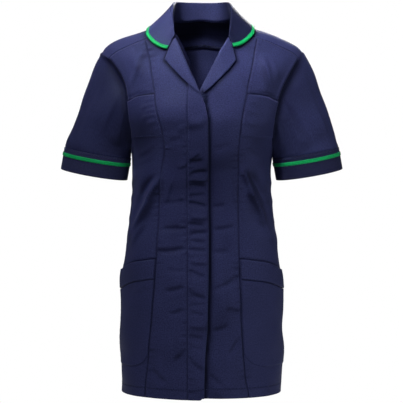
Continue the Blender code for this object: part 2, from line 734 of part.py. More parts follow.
def sleeve_parts(side, sign, folds):
    points, normals = armhole(sign)
    degrees = round_shares(points)
    degrees_closed = degrees + [360.0]
    count = len(points)
    start = np.zeros((count, 3))
    start_inner = np.zeros((count, 3))
    leave = np.zeros((count, 3))
    for k in range(count):
        tangent = unit(points[(k + 1) % count] - points[k - 1])
        away = unit(np.cross(normals[k], tangent))
        turn = degrees[k] if degrees[k] <= 180.0 else 360.0 - degrees[k]
        lean = math.radians(lerp(SLEEVE_LEAN_TIP, SLEEVE_LEAN_UNDERARM, smooth_step(turn / SLEEVE_LEAN_REACH)))
        step_out = normals[k] * math.sin(lean) + away * math.cos(lean) / 2.0
        start[k] = points[k] + step_out * SEAM_GAP * MM
        start_inner[k] = start[k] + (away * math.sin(lean) - normals[k] * math.cos(lean)) * CLOTH * MM
        leave[k] = away * math.cos(lean) + normals[k] * math.sin(lean)
    end = cuff_ring(degrees, CUFF_DEPTH + SEAM_GAP)
    span = np.linalg.norm(end - start, axis=1, keepdims=True)
    arrive = unit(np.array(SLEEVE_END_DIRECTION)) * span
    rows = []
    for t in SLEEVE_STEPS:
        h1 = 2 * t**3 - 3 * t**2 + 1
        h2 = t**3 - 2 * t**2 + t
        h3 = 3 * t**2 - 2 * t**3
        h4 = t**3 - t**2
        rows.append(start * h1 + leave * span * SLEEVE_CAP_SPRING * h2 + end * h3 + arrive * h4)
    outer = np.array(rows)
    outer = np.concatenate((outer, outer[:, :1]), axis=1)
    normals_out = grid_normals(outer, True)
    if normals_out[-1, 0, 0] < 0.0:
        normals_out = -normals_out
    for j, t in enumerate(SLEEVE_STEPS):
        for i, turn in enumerate(degrees_closed):
            height = 0.0
            for degree, first, last, width, tall in folds:
                taper = smooth_step((t - first) / SLEEVE_FOLD_TAPER) * smooth_step((last - t) / SLEEVE_FOLD_TAPER)
                apart = min(abs(turn - degree), 360.0 - abs(turn - degree))
                height += tall * taper * math.exp(-((apart / width) ** 2))
            outer[j, i] += normals_out[j, i] * height * MM
    inner = outer - normals_out * CLOTH * MM
    inner[0] = np.vstack((start_inner, start_inner[:1]))
    inner[-1] = cuff_ring(degrees_closed, CUFF_DEPTH + SEAM_GAP, -CLOTH)
    wall("sleeve_" + side, mirrored(outer, sign), mirrored(inner, sign), NAVY, closed=True)

    heights = (0.0, CUFF_DEPTH / 2, CUFF_DEPTH)
    outer = np.array([cuff_ring(degrees_closed, height, CUFF_PROUD) for height in heights])
    inner = np.array([cuff_ring(degrees_closed, height, CUFF_PROUD - CUFF_THICKNESS) for height in heights])
    wall("cuff_" + side, mirrored(outer, sign), mirrored(inner, sign), NAVY_CUFF, closed=True)

    heights = (CUFF_BRAID_TOP - BRAID_WIDTH, CUFF_BRAID_TOP)
    base = CUFF_PROUD + SEAM_GAP
    outer = np.array([cuff_ring(degrees_closed, height, base + BRAID_THICKNESS) for height in heights])
    inner = np.array([cuff_ring(degrees_closed, height, base) for height in heights])
    wall("cuff_braid_" + side, mirrored(outer, sign), mirrored(inner, sign), GREEN, closed=True)


# Collar and lapels

def collar_value(column, share):
    return curve(COLLAR, COLLAR_COLUMNS, "share", column, share)


def neck_point(share, side):
    """Point on the neck seam for a share of the collar's half length, and the normal there."""
    if share <= COLLAR_NECK_REACH:
        x, level = neck_place(share / COLLAR_NECK_REACH)
        return over_shoulder(half_width_share(x, level, side), level, side)
    z = lerp(*COLLAR_NECK_END, (share - COLLAR_NECK_REACH) / (1.0 - COLLAR_NECK_REACH))
    x = straight(RIGHT_FRONT_EDGE, SEAM_COLUMNS, "z", "x", z)
    level, angle = level_and_angle(x, z, side)
    return torso(side * angle, level)


def collar_section(share, side):
    """Middle line of the collar's cloth from the neck seam over the roll to the outer edge."""
    neck, normal = neck_point(share, side)
    neck = neck + normal * COLLAR_SEAT * MM
    roll = np.array([collar_value(column, share) for column in ("roll_x", "roll_y", "roll_z")])
    roll = mirrored(roll, side) * MM
    edge_x = collar_value("left_edge_x" if side > 0 else "right_edge_x", share)
    edge_level = collar_value("edge_level", share)
    edge_part = half_width_share(edge_x, edge_level, side)
    edge, edge_normal = over_shoulder(edge_part, edge_level, side, collar_value("edge_lift", share))
    inward = unit(neck - roll)
    fall = unit(edge - roll)
    outward = unit(fall - inward * np.dot(fall, inward))
    radius = min(ROLL_RADIUS * MM, 0.45 * np.linalg.norm(roll - neck))
    under = roll + inward * radius
    line = [neck, lerp(neck, under, 0.5), under]
    for turn in (50.0, 90.0, 130.0):
        a = math.radians(turn)
        line.append(under + (outward * (1.0 - math.cos(a)) - inward * math.sin(a)) * radius)
    over = line[-1]
    for t in (0.3, 0.62, 1.0 - BRAID_WIDTH * MM / np.linalg.norm(edge - over), 1.0):
        bulge = FALL_BULGE * MM * math.sin(math.pi * t)
        line.append(lerp(over, edge, t) + edge_normal * bulge)
    return line


def collar():
    shares = [i / COLLAR_STEPS for i in range(COLLAR_STEPS + 1)]
    right = [collar_section(share, -1) for share in reversed(shares[1:])]
    middle = np.array(right + [collar_section(share, 1) for share in shares])
    normals = grid_normals(middle, False)
    if normals[COLLAR_STEPS, -1][1] < 0.0:
        normals = -normals
    face = middle + normals * COLLAR_THICKNESS / 2 * MM
    under = middle - normals * COLLAR_THICKNESS / 2 * MM
    wall("collar", face, under, NAVY)

    strip = face[:, -2:]
    lift = normals[:, -2:] * MM
    wall("collar_braid", strip + lift * (SEAM_GAP + BRAID_THICKNESS), strip + lift * SEAM_GAP, GREEN)


def lapel(side, sign, table):
    steps = 4
    rows = 11
    outer = np.zeros((rows, steps + 1, 3))
    inner = np.zeros((rows, steps + 1, 3))
    for j in range(rows):
        t = j / (rows - 1)
        ends = [straight(table, LAPEL_COLUMNS, "t", column, t) for column in LAPEL_COLUMNS[1:]]
        for i in range(steps + 1):
            share = i / steps
            x = lerp(ends[0], ends[2], share)
            z = lerp(ends[1], ends[3], share)
            level, angle = level_and_angle(x, z, sign)
            lift = LAPEL_CLEARANCE + LAPEL_SPRING * math.sin(math.pi * share)
            low, normal = torso(sign * angle, level, lift, sign)
            inner[j, i] = low
            outer[j, i] = low + normal * LAPEL_THICKNESS * MM
    wall("lapel_" + side, outer, inner, NAVY)


# Pockets

def pocket(name, sign, princess, rows, top, bottom, thickness, spring):
    """Patch on the side front between two edges given as functions of the share of its width."""
    outer = np.zeros((rows + 1, FRONT_SIDE_COLUMNS + 1, 3))
    inner = np.zeros((rows + 1, FRONT_SIDE_COLUMNS + 1, 3))
    for i in range(FRONT_SIDE_COLUMNS + 1):
        share = lerp(*POCKET_ENDS, i / FRONT_SIDE_COLUMNS)
        for j in range(rows + 1):
            up = j / rows
            z = lerp(bottom(share), top(share), up)
            low, normal = side_front_point(sign, share, z, princess, POCKET_CLEARANCE + spring(up))
            inner[j, i] = low
            outer[j, i] = low + normal * thickness * MM
    wall(name, outer, inner, NAVY)


def side_front_point(sign, share, z, princess, lift):
    x = curve(princess, SEAM_COLUMNS, "z", "x", z)
    level, first = level_and_angle(x, z, sign)
    last = side_edge_angle(min(level, 0.0), False)
    if z <= BUST_Z:
        return torso(sign * lerp(first, last, share), level, lift, sign)
    own_level = level
    angle = first
    for _ in range(8):
        angle = lerp(seam_angle(princess, own_level, sign), last, share)
        across = math.sin(math.radians(angle)) ** (2.0 / SECTION_POWER)
        part = torso_size("half_width", BUST_Z) * across / FRONT_CHEST_HALF
        height = (z - BUST_Z) / (ridge_z(part * SHOULDER_TIP_X) - BUST_Z)
        own_level = math.degrees(math.asin(height))
    return torso(sign * angle, own_level, lift, sign)


def pocket_edge(table, column):
    return lambda share: curve(table, POCKET_COLUMNS, "share", column, share)


def pockets(side, sign, princess):
    pocket(
        "chest_pocket_" + side, sign, princess, 5, pocket_edge(CHEST_POCKET, "top"),
        pocket_edge(CHEST_POCKET, "bottom"), POCKET_THICKNESS, lambda up: CHEST_POCKET_SPRING * up**3)
    top = pocket_edge(HIP_POCKET, "top")
    pocket(
        "hip_pocket_" + side, sign, princess, 8, lambda share: top(share) - HIP_BAND_DEPTH - SEAM_GAP,
        pocket_edge(HIP_POCKET, "bottom"), POCKET_THICKNESS, lambda up: BAND_SPRING * BAND_SPRING_BELOW * up**2)
    pocket(
        "hip_pocket_band_" + side, sign, princess, 2, top, lambda share: top(share) - HIP_BAND_DEPTH,
        BAND_THICKNESS, lambda up: BAND_SPRING * lerp(BAND_SPRING_BELOW, 1.0, up))


def build():
    for thing in list(bpy.data.objects):
        bpy.data.objects.remove(thing, do_unlink=True)
    front_centre("front_centre_right", -1, RIGHT_FRONT_EDGE, PRINCESS_RIGHT)
    front_centre("front_centre_left", 1, LEFT_FRONT_EDGE, PRINCESS_LEFT)
    front_placket()
    front_side("front_side_right", -1, PRINCESS_RIGHT)
    front_side("front_side_left", 1, PRINCESS_LEFT)
    back()
    yoke()
    sleeve_parts("right", -1.0, SLEEVE_FOLDS_RIGHT)
    sleeve_parts("left", 1.0, SLEEVE_FOLDS_LEFT)
    collar()
    lapel("right", -1, LAPEL_RIGHT)
    lapel("left", 1, LAPEL_LEFT)
    pockets("right", -1, PRINCESS_RIGHT)
    pockets("left", 1, PRINCESS_LEFT)


build()
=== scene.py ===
import math

import bmesh
import bpy
import numpy as np
from mathutils import Matrix, Vector


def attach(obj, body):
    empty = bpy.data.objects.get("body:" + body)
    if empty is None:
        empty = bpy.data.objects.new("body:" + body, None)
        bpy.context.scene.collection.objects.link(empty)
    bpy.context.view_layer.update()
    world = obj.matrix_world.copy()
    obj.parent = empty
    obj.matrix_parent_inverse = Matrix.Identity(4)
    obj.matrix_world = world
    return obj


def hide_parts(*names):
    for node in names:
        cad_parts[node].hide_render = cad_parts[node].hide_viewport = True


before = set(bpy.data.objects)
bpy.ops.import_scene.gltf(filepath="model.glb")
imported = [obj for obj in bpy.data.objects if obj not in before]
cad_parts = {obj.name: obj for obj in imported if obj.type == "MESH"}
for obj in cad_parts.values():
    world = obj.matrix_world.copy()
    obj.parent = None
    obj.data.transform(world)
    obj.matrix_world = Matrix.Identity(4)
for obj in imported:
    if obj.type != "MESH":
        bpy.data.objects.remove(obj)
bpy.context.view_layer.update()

MM = 0.001
DETAIL = 1.0


def table(names, *rows):
    """The columns of a table by name. What is read from it runs over the first column."""
    return dict(zip(names.split(), np.array(rows, dtype=float).T))


# Sizes of the cut and the surface, in millimetres and degrees. A level counts up from the bust line.
BUST_Z = -192.0
HEM_Z = -720.0
UNDERARM_Z = -252.0
SHOULDER_TIP_X = 197.0
FRONT_CHEST_HALF = 138.0
BACK_CHEST_HALF = 142.0
RIGHT_ARMHOLE_FLARE = 2.8
LEFT_ARMHOLE_FLARE = 1.5
BACK_ARMHOLE_FLARE = 2.8
FRONT_ARCH_POWER = 1.0
BACK_ARCH_POWER = 0.75
SECTION_POWER = 2.4
SEAM_GAP = 0.3
FLY_STITCH_X = 27.0
UNDERLAP_SET_BACK = 3.5
UNDERLAP_X = (18.0, 44.0)
UNDERLAP_Z = (-72.0, -112.0)
FRONT_SEAM_LEVEL = 62.0
HEM_LEVEL = HEM_Z - BUST_Z
UNDERARM_LEVEL = UNDERARM_Z - BUST_Z
GAP_ANGLE = 0.06
BACK_SEAM_DEGREES = 47.0

# Cloth, folded edges and seams
CLOTH = 0.5
HEM_TURN = 20.0
HEM_GAP = 1.15
FLY_TURN_GAP = 1.9
GRAIN_STEP = 2.8
EDGE_STEPS = (0.0, 0.5, 1.3, 2.6, 4.4)
SEAM_DIP = 0.7
SEAM_DIP_WIDTH = 1.1
SEAM_ROLL = 0.28
SEAM_ROLL_AT = 3.6
SEAM_ROLL_WIDTH = 1.9
PUCKER_REACH = 11.0
SEAM_SHADE_WIDTH = 1.0
SEAM_SHADE_DEPTH = 0.62
TUCK = -2.0
TUCK_TOP = -1.45
TUCK_SHARE = 0.075
TUCK_DEGREES = 4.6
BACK_TUCK = -1.05
BACK_TUCK_DEGREES = 2.6
SLEEVE_TUCK = 7.0
SLEEVE_TUCK_DEPTH = 3.2
TUCKED_LEFT = [(-TUCK_SHARE, TUCK), (0.0, TUCK)]
TUCKED_TOP = [(FRONT_SEAM_LEVEL, TUCK_TOP), (FRONT_SEAM_LEVEL + TUCK_DEGREES, TUCK_TOP)]
HEM_STITCH_LEVEL = HEM_LEVEL + HEM_TURN - 1.5
STITCH_LINE_WIDTH = 1.0
STITCH_LINE_DIP = 0.35
STITCH_LINE_SHADE = 0.65

# Soft shades
CREASE_SHADE = 1.9
CREASE_SIDE_SHADE = 1.1
CREASE_SHADE_MOST = 0.6
LEAST_LIFT = -0.3
LEAST_SLOPE = 0.06
LEAST_RUN = 0.6
COLLAR_SHADE = 1.25
COLLAR_SHADE_REACH = 6.2
COLLAR_LEFT_SHADE = 0.82
CUFF_LEFT_SHADE = 0.3
INSIDE_NECK_SHADE = 0.85
POCKET_TOP_SHADE = 0.7
POCKET_MOUTH_AT = 1.6
POCKET_MOUTH_WIDTH = 2.2
FLY_SHADE = 1.1
FLY_SHADE_AT = 2.0
FLY_SHADE_WIDTH = 3.6
FLY_SHADE_FAR = 0.4
FLY_SHADE_REACH = 9.0
SLEEVE_SHADE_MOST = 0.9
# Patches of painted shade: x, z, width, height, amount
PAINTED_SHADE_PATCHES = (
    (-116, -222, 28, 58, 0.62), (116, -230, 26, 50, 0.14), (10, -300, 100, 95, 0.54),
    (-52, -275, 16, 24, 0.16), (60, -268, 16, 22, 0.12), (-52, -408, 15, 22, 0.18),
    (48, -430, 14, 20, 0.16), (-46, -640, 22, 20, 0.14), (46, -560, 18, 22, 0.14),
    (-120, -480, 30, 150, 0.1),
)

TORSO = table(
    "z half_width front_depth back_depth",
    (-192, 152, 124, 116), (-215, 147.5, 122, 114), (-240, 141, 118, 111), (-265, 136.8, 113, 108),
    (-300, 134.5, 108, 104), (-345, 135.5, 105, 103), (-386, 140, 107, 109), (-425, 146, 111, 119),
    (-464, 151, 115, 127), (-503, 154.5, 118, 131), (-581, 156.5, 121, 130), (-659, 157, 123, 129),
    (-720, 155.5, 125, 128),
)
HEM_RISE = table(
    "angle right left",
    (0, 0, 3.2), (20, 1.8, 3.2), (45, 3, 3.6), (90, 3.2, 3.4), (180, 3.3, 3.3),
)
BACK_SEAM = table(
    "share level",
    (0, 42.3), (0.15, 44.6), (0.3, 47.6), (0.6, 48.6), (1, 47),
)
RIDGE = table(
    "x z",
    (0, 30), (30, 21), (63, 4.5), (90, -8.5), (116, -18.5), (140, -26.5), (162, -35), (180, -43.5),
    (190, -50.5), (197, -58),
)
PRINCESS_RIGHT = table(
    "z x",
    (-30, 110), (-51, 106), (-109, 97), (-148, 89.5), (-184, 82), (-216, 74), (-252, 70.5),
    (-280, 74.5), (-336, 79), (-394, 82), (-445, 85), (-509, 89.5), (-556, 93), (-636, 100),
    (-720, 107),
)
PRINCESS_LEFT = table(
    "z x",
    (-30, 107), (-55, 103.5), (-92, 98), (-130, 89), (-177, 78.5), (-214, 73), (-252, 70), (-345, 69),
    (-439, 70), (-496, 72), (-589, 75), (-636, 78), (-676, 81.5), (-720, 88),
)
RIGHT_FRONT_EDGE = table(
    "z x",
    (-20, 61), (-36, 50), (-88, 27), (-137.5, 5), (-149, 1), (-166, -6), (-196, -12), (-345, -12.7),
    (-401, -13.6), (-495, -12.7), (-588, -10.8), (-644, -6.2), (-720, -4.3),
)
LEFT_FRONT_EDGE = table(
    "z x",
    (-20, 61), (-36, 49.5), (-137.5, -4), (-158, -17), (-180, -18), (-720, -18),
)

# Large soft folds, as the solids have them: side (1 front, -1 back), x1, z1, x2, z2, width, height
# A fade is how far a line runs on past its ends, and the span in which it dies away, as shares of it
FOLD_FADE = (0.25, 0.5)
FOLDS = (
    (1, -80, -310, -112, -368, 10, 3.2), (1, -108, -360, -138, -418, 11, 3.4),
    (1, -122, -292, -108, -340, 9, 2), (1, 78, -285, 95, -334, 10, 3),
    (1, 92, -326, 118, -380, 11, 3.6), (1, 114, -372, 142, -428, 12, 3.2),
    (1, 121, -78, 131, -140, 10, 2.4), (1, -136, -66, -114, -112, 11, 2.2),
    (1, -60, -560, -52, -719, 16, 1.6), (1, 50, -600, 58, -719, 15, 1.8),
    (-1, -34, -300, -96, -372, 13, 3.2), (-1, 40, -308, 104, -362, 12, 3.4),
    (-1, -70, -350, -126, -404, 12, 2.6), (-1, 82, -336, 130, -412, 12, 2.4),
    (-1, -100, -120, -122, -210, 13, 2.4), (-1, 104, -112, 118, -198, 12, 2.6),
    (-1, 58, -560, 64, -719, 16, 2.4), (-1, -66, -590, -72, -719, 16, 2),
)

# Smaller creases: a1, z1, a2, z2, width, height, bow. There a is x in front and behind, and y at the sides.
CREASE_FADE = (0.2, 0.45)
CREASES = {
    "front": (
        (17, -190, 17, -420, 3.6, -2.8, 0), (16.5, -400, 10.5, -719, 3.6, -2.8, -1.5),
        (-94, -143, -122, -144.5, 2.8, -1.6, 0), (-122, -144.5, -150, -155, 2.8, -1.6, 0),
        (94, -143, 122, -144.5, 2.8, -1.6, 0), (122, -144.5, 150, -155, 2.8, -1.6, 0),
        (-26, -203, 6, -199, 8.1, 2.8, 0), (-24, -267, -4, -254, 4.5, 1.9, 1),
        (-24, -275, 2, -272, 4.2, -2.3, 1.5), (-22, -297, 9, -294, 3.8, -2.2, -1),
        (-20, -306, 10, -308, 3.5, 1.7, 1), (-25, -319, 8, -322, 4.5, -2.2, 0),
        (-23, -338, 6, -336, 3.8, -2, 1), (-25, -350, 9, -359, 4.2, -3, 0),
        (-20, -377, 10, -379, 4, 2, 1.2), (-25, -391, 2, -394, 3.8, -1.7, 0),
        (-22, -411, 10, -408, 4.8, -2.2, -1), (-25, -438, 8, -441, 3.8, -1.7, 0.6),
        (-18, -461, 10, -463, 4.2, 2, 0), (-25, -480, 6, -492, 4.5, -2.5, 0),
        (-24, -522, 7, -532, 4.5, -2.2, 0), (-20, -543, 8, -541, 3.8, -1.4, 1),
        (-24, -580, 6, -583, 4.5, 1.7, 0), (-22, -622, 4, -628, 4.8, -1.4, 0),
        (-44, -214, -30, -209, 3.4, 1.4, 0), (-46, -284, -30, -279, 3.4, 1.7, 0),
        (-42, -342, -30, -340, 3, 1.3, 0), (-44, -398, -30, -394, 3.4, 1.3, 0),
        (-89, -156, -108, -160, 3, 1.4, 1), (-87, -166, -112, -172, 3.4, 1.8, 1),
        (-86, -176, -104, -180, 3, 1.6, 0.6), (-84, -185, -110, -192, 3.7, 1.9, 1),
        (-82, -196, -100, -203, 3.4, 1.8, 0.6), (-78, -210, -94, -220, 3.9, 2.1, 0.6),
        (88, -160, 106, -163, 3.2, 1.1, 0), (84, -176, 104, -182, 3.7, 1.3, 0.6),
        (80, -196, 98, -205, 3.9, 1.7, 0), (-81, -443, -34, -437, 5, -2.8, 2),
        (-74, -400, -30, -397, 4.6, -2, 1.5), (-68, -518, -33, -509, 5.2, -2.3, 1.5),
        (-72, -352, -36, -349, 4.6, -1.4, 1), (-66, -476, -30, -481, 5, -1.4, 1),
        (20, -359, 44, -356, 5, -1.8, 1), (20, -444, 48, -443, 6, -2.2, 1),
        (20, -516, 68, -493, 6, -2.3, 2), (48, -551, 72, -558, 4.4, -1.7, 0),
        (-50, -647, -30, -629, 5, -2.1, 1), (-24, -646, 4, -668, 5, -2.1, 1),
        (14, -672, 37, -693, 5, -2, 1), (-97, -662, -69, -690, 7, -2.3, 1),
        (51, -636, 70, -607, 5, -2, 1), (-92, -298, -138, -390, 9, -3.4, 2),
        (94, -294, 142, -390, 9, -3.4, -2), (-126, -262, -88, -238, 5, 1, 2),
        (-128, -276, -92, -262, 4.6, 0.8, 1.6), (126, -264, 86, -240, 5.2, 1.2, -2),
        (128, -280, 96, -268, 4.4, 0.9, -1.6), (-78, -306, -106, -360, 4.4, 3.2, 3),
        (-98, -350, -130, -404, 4.6, 3, 2), (-88, -300, -116, -338, 4.2, -2.1, 2),
        (-110, -392, -136, -436, 5.2, 2.2, 2), (77, -290, 94, -342, 4.2, 4.2, -2),
        (90, -332, 118, -386, 4.2, 4.2, -2), (90, -296, 116, -342, 4.4, -2.1, -2),
        (110, -380, 138, -430, 5.2, 2.5, -2), (52, -300, 66, -352, 4.6, 1.6, -1),
        (-56, -308, -68, -350, 4.6, 1.3, 1), (-112, -62, -128, -96, 6, 1.7, 1.6),
        (-118, -84, -136, -126, 5.4, 1.4, 1.6), (116, -74, 128, -128, 6, 1.9, -1.6),
        (134, -74, 144, -116, 5.4, 1.4, -1.6), (60, -96, 84, -150, 9, 1, -2),
        (-58, -90, -80, -146, 9, 0.9, 2), (30, -430, 42, -560, 13, 1.7, 2),
        (-46, -440, -56, -590, 13, 1.6, -2), (26, -640, 30, -719, 11, 2.5, 0),
        (-80, -650, -84, -719, 10, 2.1, 0), (118, -650, 122, -719, 10, 2.1, 0),
        (82, -500, 122, -512, 6, 1.6, 1.6), (-96, -504, -130, -520, 6, 1.3, 1.6),
        (-60, -560, -34, -552, 4.6, -1.9, 1.5), (-24, -421, 6, -426, 4, -1.9, 1),
        (-22, -558, 4, -563, 4, -1.7, -1), (-24, -600, 2, -606, 4.4, -1.8, 1),
        (24, -402, 62, -396, 5, -1.8, 1.5), (22, -592, 50, -582, 5, -1.9, 1.5),
        (-60, -236, -36, -230, 5, -1.5, 1), (22, -250, 54, -242, 5.6, -1.5, 1.5),
    ),
    "back": (
        (-90, -62, -128, -104, 6.4, 2.7, 2), (92, -66, 126, -112, 6.4, 2.4, -2),
        (-60, -92, -70, -168, 9, 2, 2), (54, -96, 72, -176, 9, 2, -2), (-6, -110, 4, -220, 11, 1.7, 2),
        (-128, -262, -84, -238, 5.4, 2.7, 2), (128, -266, 82, -240, 5.4, 2.7, -2),
        (-40, -304, -86, -344, 4.4, 3.1, 2.4), (-62, -334, -112, -380, 5, 3.2, 2.4),
        (36, -300, 78, -336, 4.4, 2.8, -2.4), (66, -330, 116, -374, 5, 3.5, -2.4),
        (-20, -330, 22, -326, 6, 2.4, 2), (-26, -352, 18, -360, 6, 2.2, -2),
        (-16, -384, 30, -378, 6.4, 1.8, 2), (-104, -398, -136, -440, 6, 2.4, 2),
        (100, -396, 134, -444, 6, 2.4, -2), (-14, -62, -11, -140, 6, 1.5, 0),
        (-31, -62, -28, -132, 7, -1.3, 0), (22, -62, 27, -136, 9, 1.3, 0),
        (0, -480, 4, -719, 15, 2.4, 3), (96, -520, 104, -719, 13, 2.4, 2),
        (-102, -500, -110, -719, 13, 2.7, -2),
    ),
    "right": (
        (-50, -300, 30, -322, 6.9, 1.2, 3), (-60, -340, 40, -352, 7.4, 1.3, -3),
        (-36, -378, 56, -388, 8, 1.1, 3), (10, -280, 60, -262, 6.2, 1, 2),
        (-12, -470, -6, -640, 13.8, 0.9, 2), (40, -520, 52, -719, 14.9, 1.2, 2),
    ),
    "left": (
        (-54, -306, 28, -318, 6.9, 1.2, 3), (-58, -344, 44, -358, 7.4, 1.3, -3),
        (-30, -384, 54, -392, 8, 1, 3), (12, -276, 62, -260, 6.2, 0.9, 2),
        (-8, -480, -14, -650, 13.8, 0.8, 2), (44, -530, 50, -719, 14.9, 1.1, 2),
    ),
}

# How the front leans back above the bust, with a soft break at the bust line
CHEST_LEAN = table(
    "z height",
    (-250, 0), (-222, 1), (-200, 2.4), (-184, 2), (-162, -0.8), (-135, -4.6), (-105, -6.6), (-75, -5.6),
    (-50, -2.4), (-30, 0),
)
CHEST_FADE_X = (95.0, 150.0)
BUST_WAVE = 9.0
BUST_WAVE_X = 72.0

# Soft unevenness of hanging cloth: direction x, y, z of each wave, its length, height and shift
RIPPLES = (
    (0.5, 0.3, 0.8, 118, 0.8, 0.4), (-0.45, 0.4, 0.8, 83, 0.6, 2.1), (0.9, -0.3, 0.3, 67, 0.4, 4),
    (0.3, 0.6, -0.75, 97, 0.6, 5.2), (-0.4, -0.5, 0.75, 53, 0.3, 1.3), (0.25, 0.2, 0.95, 61, 0.35, 3.3),
)

# Sleeves, on the side where x is positive
CUFF_CENTRE = (209.5, -4.0, -297.0)
CUFF_OUTWARD = (64.0, 0.0, 11.0)
CUFF_FORWARD = (0.0, -46.0, -5.0)
CUFF_DOWN = (0.17, 0.0, -0.985)
CUFF_DEPTH = 43.0
CUFF_PROUD = 0.9
BRAID_WIDTH = 7.0
CUFF_BRAID_TOP = 34.0
CUFF_BRAID_CLOTH = 0.4
SLEEVE_END_DIRECTION = (0.27, 0.0, -0.963)
SLEEVE_CAP_SPRING = 0.12
SLEEVE_LEAN_TIP = 8.0
SLEEVE_LEAN_UNDERARM = 95.0
SLEEVE_LEAN_REACH = 150.0
SLEEVE_FOLD_TAPER = 0.15
SLEEVE_VALLEY = 3.5
SLEEVE_VALLEY_BEHIND = 0.6
SLEEVE_VALLEY_AT = 7.0
SLEEVE_SHADE = 0.66
SLEEVE_CREASE_SHADE_MOST = 0.2
SLEEVE_SHADE_NEAR = 12.0
SLEEVE_SHADE_FAR = 60.0
ARMHOLE_ROLL = 1.2
ARMHOLE_ROLL_AT = 5.0
ARMHOLE_ROLL_WIDTH = 4.5
SLEEVE_SEAM_DIP = 0.7
# Folds: degrees round the sleeve, share of its length at the start and end, width, height
SLEEVE_FOLDS_RIGHT = (
    (0, 0, 0.95, 45, -3.4), (62, 0.2, 0.95, 16, 2.6), (112, 0.1, 0.8, 15, 2), (250, 0.15, 0.9, 18, 2.6),
)
SLEEVE_FOLDS_LEFT = (
    (50, 0.15, 0.9, 15, 2.8), (88, 0.25, 0.95, 14, 2.6), (262, 0.2, 0.9, 18, 2.4),
)
# Creases from one place to another: degrees1, share1, degrees2, share2, width, height
SLEEVE_CREASE_FADE = (0.2, 0.4)
SLEEVE_CREASES_RIGHT = (
    (70, 0.1, 84, 0.7, 5, 1.2), (100, 0.16, 118, 0.66, 5, 1.1), (36, 0.25, 52, 0.9, 7, 0.9),
    (128, 0.1, 150, 0.5, 6, 1.2), (240, 0.1, 226, 0.6, 6, 1.3), (276, 0.15, 262, 0.8, 7, 1.1),
    (304, 0.3, 298, 0.95, 7, 0.8), (10, 0.06, 30, 0.2, 5, 0.7), (330, 0.06, 312, 0.22, 5, 0.7),
)
SLEEVE_CREASES_LEFT = (
    (58, 0.1, 66, 0.8, 6, 1.5), (82, 0.12, 96, 0.72, 5, 1.3), (112, 0.14, 126, 0.6, 5, 1.1),
    (34, 0.2, 40, 0.9, 7, 1.1), (140, 0.1, 156, 0.45, 6, 1.1), (236, 0.1, 224, 0.56, 6, 1.2),
    (268, 0.12, 258, 0.8, 7, 1.2), (300, 0.26, 290, 0.95, 7, 0.9), (336, 0.06, 320, 0.2, 5, 0.7),
)

# Neck seam, yoke, collar and lapels
NAPE_LEVEL = 116.0
SIDE_NECK_LEVEL = 88.0
SIDE_NECK_X = 63.0
FRONT_NECK_X = 60.0
SIDE_NECK_SHARE = 0.7
COLLAR_THICKNESS = 2.0
COLLAR_SEAT = 0.85
COLLAR_NECK_REACH = 0.93
COLLAR_NECK_END = (-22.5, -35.0)
ROLL_RADIUS = 2.3
FALL_BULGE = -0.6
COLLAR_EDGE_ROUND = 0.55
COLLAR_END_ROUND = 0.6
COLLAR_ROUND_WIDTH = 0.9
COLLAR_BRAID_CLOTH = 0.35
YOKE_BACK_SHARE = 0.6
COLLAR = table(
    "share roll_x roll_y roll_z right_edge_x left_edge_x edge_level edge_lift",
    (0, 0, 61, 43.5, 0, 0, 128, 3), (0.14, 21, 59, 43.5, 34, 34, 124.2, 3),
    (0.29, 40, 49.5, 43.5, 64, 63, 118, 2.6), (0.43, 49.5, 32, 41.5, 87, 84, 109, 2.2),
    (0.57, 52.5, 8.5, 36, 100.5, 96, 94, 2), (0.71, 54, -19, 25.5, 105.5, 100.5, 78, 2),
    (0.8, 55, -36, 14, 105, 99.5, 67, 2.2), (0.87, 54.5, -49.5, 1.5, 97.5, 91, 58, 2.6),
    (0.94, 53.5, -63, -15, 82, 76, 50, 3), (1, 51.5, -76.5, -32.5, 66, 60, 45.5, 3.4),
)
LAPEL_RIGHT = table(
    "t roll_x roll_z edge_x edge_z",
    (0, 50.3, -37.5, 64.5, -61), (0.2, 41.5, -57, 71.5, -78), (0.4, 32.5, -78, 57.5, -94),
    (0.6, 23, -99, 40.5, -112), (0.8, 14, -119, 22, -130), (1, 5.5, -138, 4.5, -146),
)
LAPEL_LEFT = table(
    "t roll_x roll_z edge_x edge_z",
    (0, 49.8, -37.5, 60.5, -60), (0.2, 39, -56, 66, -80), (0.4, 29.5, -74.5, 52, -98),
    (0.6, 20, -93, 35, -116), (0.8, 10.5, -111, 18, -132), (1, 1.5, -128, 4, -143),
)
LAPEL_CLEARANCE = 0.7
LAPEL_SPRING = 1.8
LAPEL_THICKNESS = 1.8
LAPEL_EDGE_LIFT = 1.3
LAPEL_WAVE = 0.35

# Pockets
CHEST_POCKET = table(
    "share top bottom",
    (0, -147, -226), (0.5, -149.5, -227), (1, -158.5, -228),
)
HIP_POCKET = table(
    "share top bottom",
    (0, -457.5, -636), (0.08, -458.5, -650), (0.2, -461, -658), (0.35, -463.5, -661), (1, -482, -662),
)
CHEST_POCKET_DEPTH = 78.0
CHEST_POCKET_TURN = 14.0
HIP_POCKET_DEPTH = 165.0
HIP_BAND_DEPTH = 37.0
HIP_BAND_TURN = 12.0
POCKET_CLEARANCE = 0.5
POCKET_LAYER = 0.55
HIP_BAND_LAYER = 1.2
POCKET_ENDS = (0.012, 0.985)
CHEST_POCKET_SPRING = 0.9
BAND_SPRING = 1.6
BAND_SPRING_BELOW = 0.6

# Thread
STITCH_LENGTH = 2.6
STITCH_PITCH = 3.3
THREAD_RADIUS = 0.22
THREAD_PROUD = 0.12
YOKE_THREAD_PROUD = 0.3
POCKET_THREAD_LIFT = 1.12
# Rows across the pockets: pocket, drop below its top, lift
POCKET_ROWS = ((CHEST_POCKET, 13.0, 1.42), (HIP_POCKET, 33.5, 2.87), (HIP_POCKET, 39.5, 1.47))

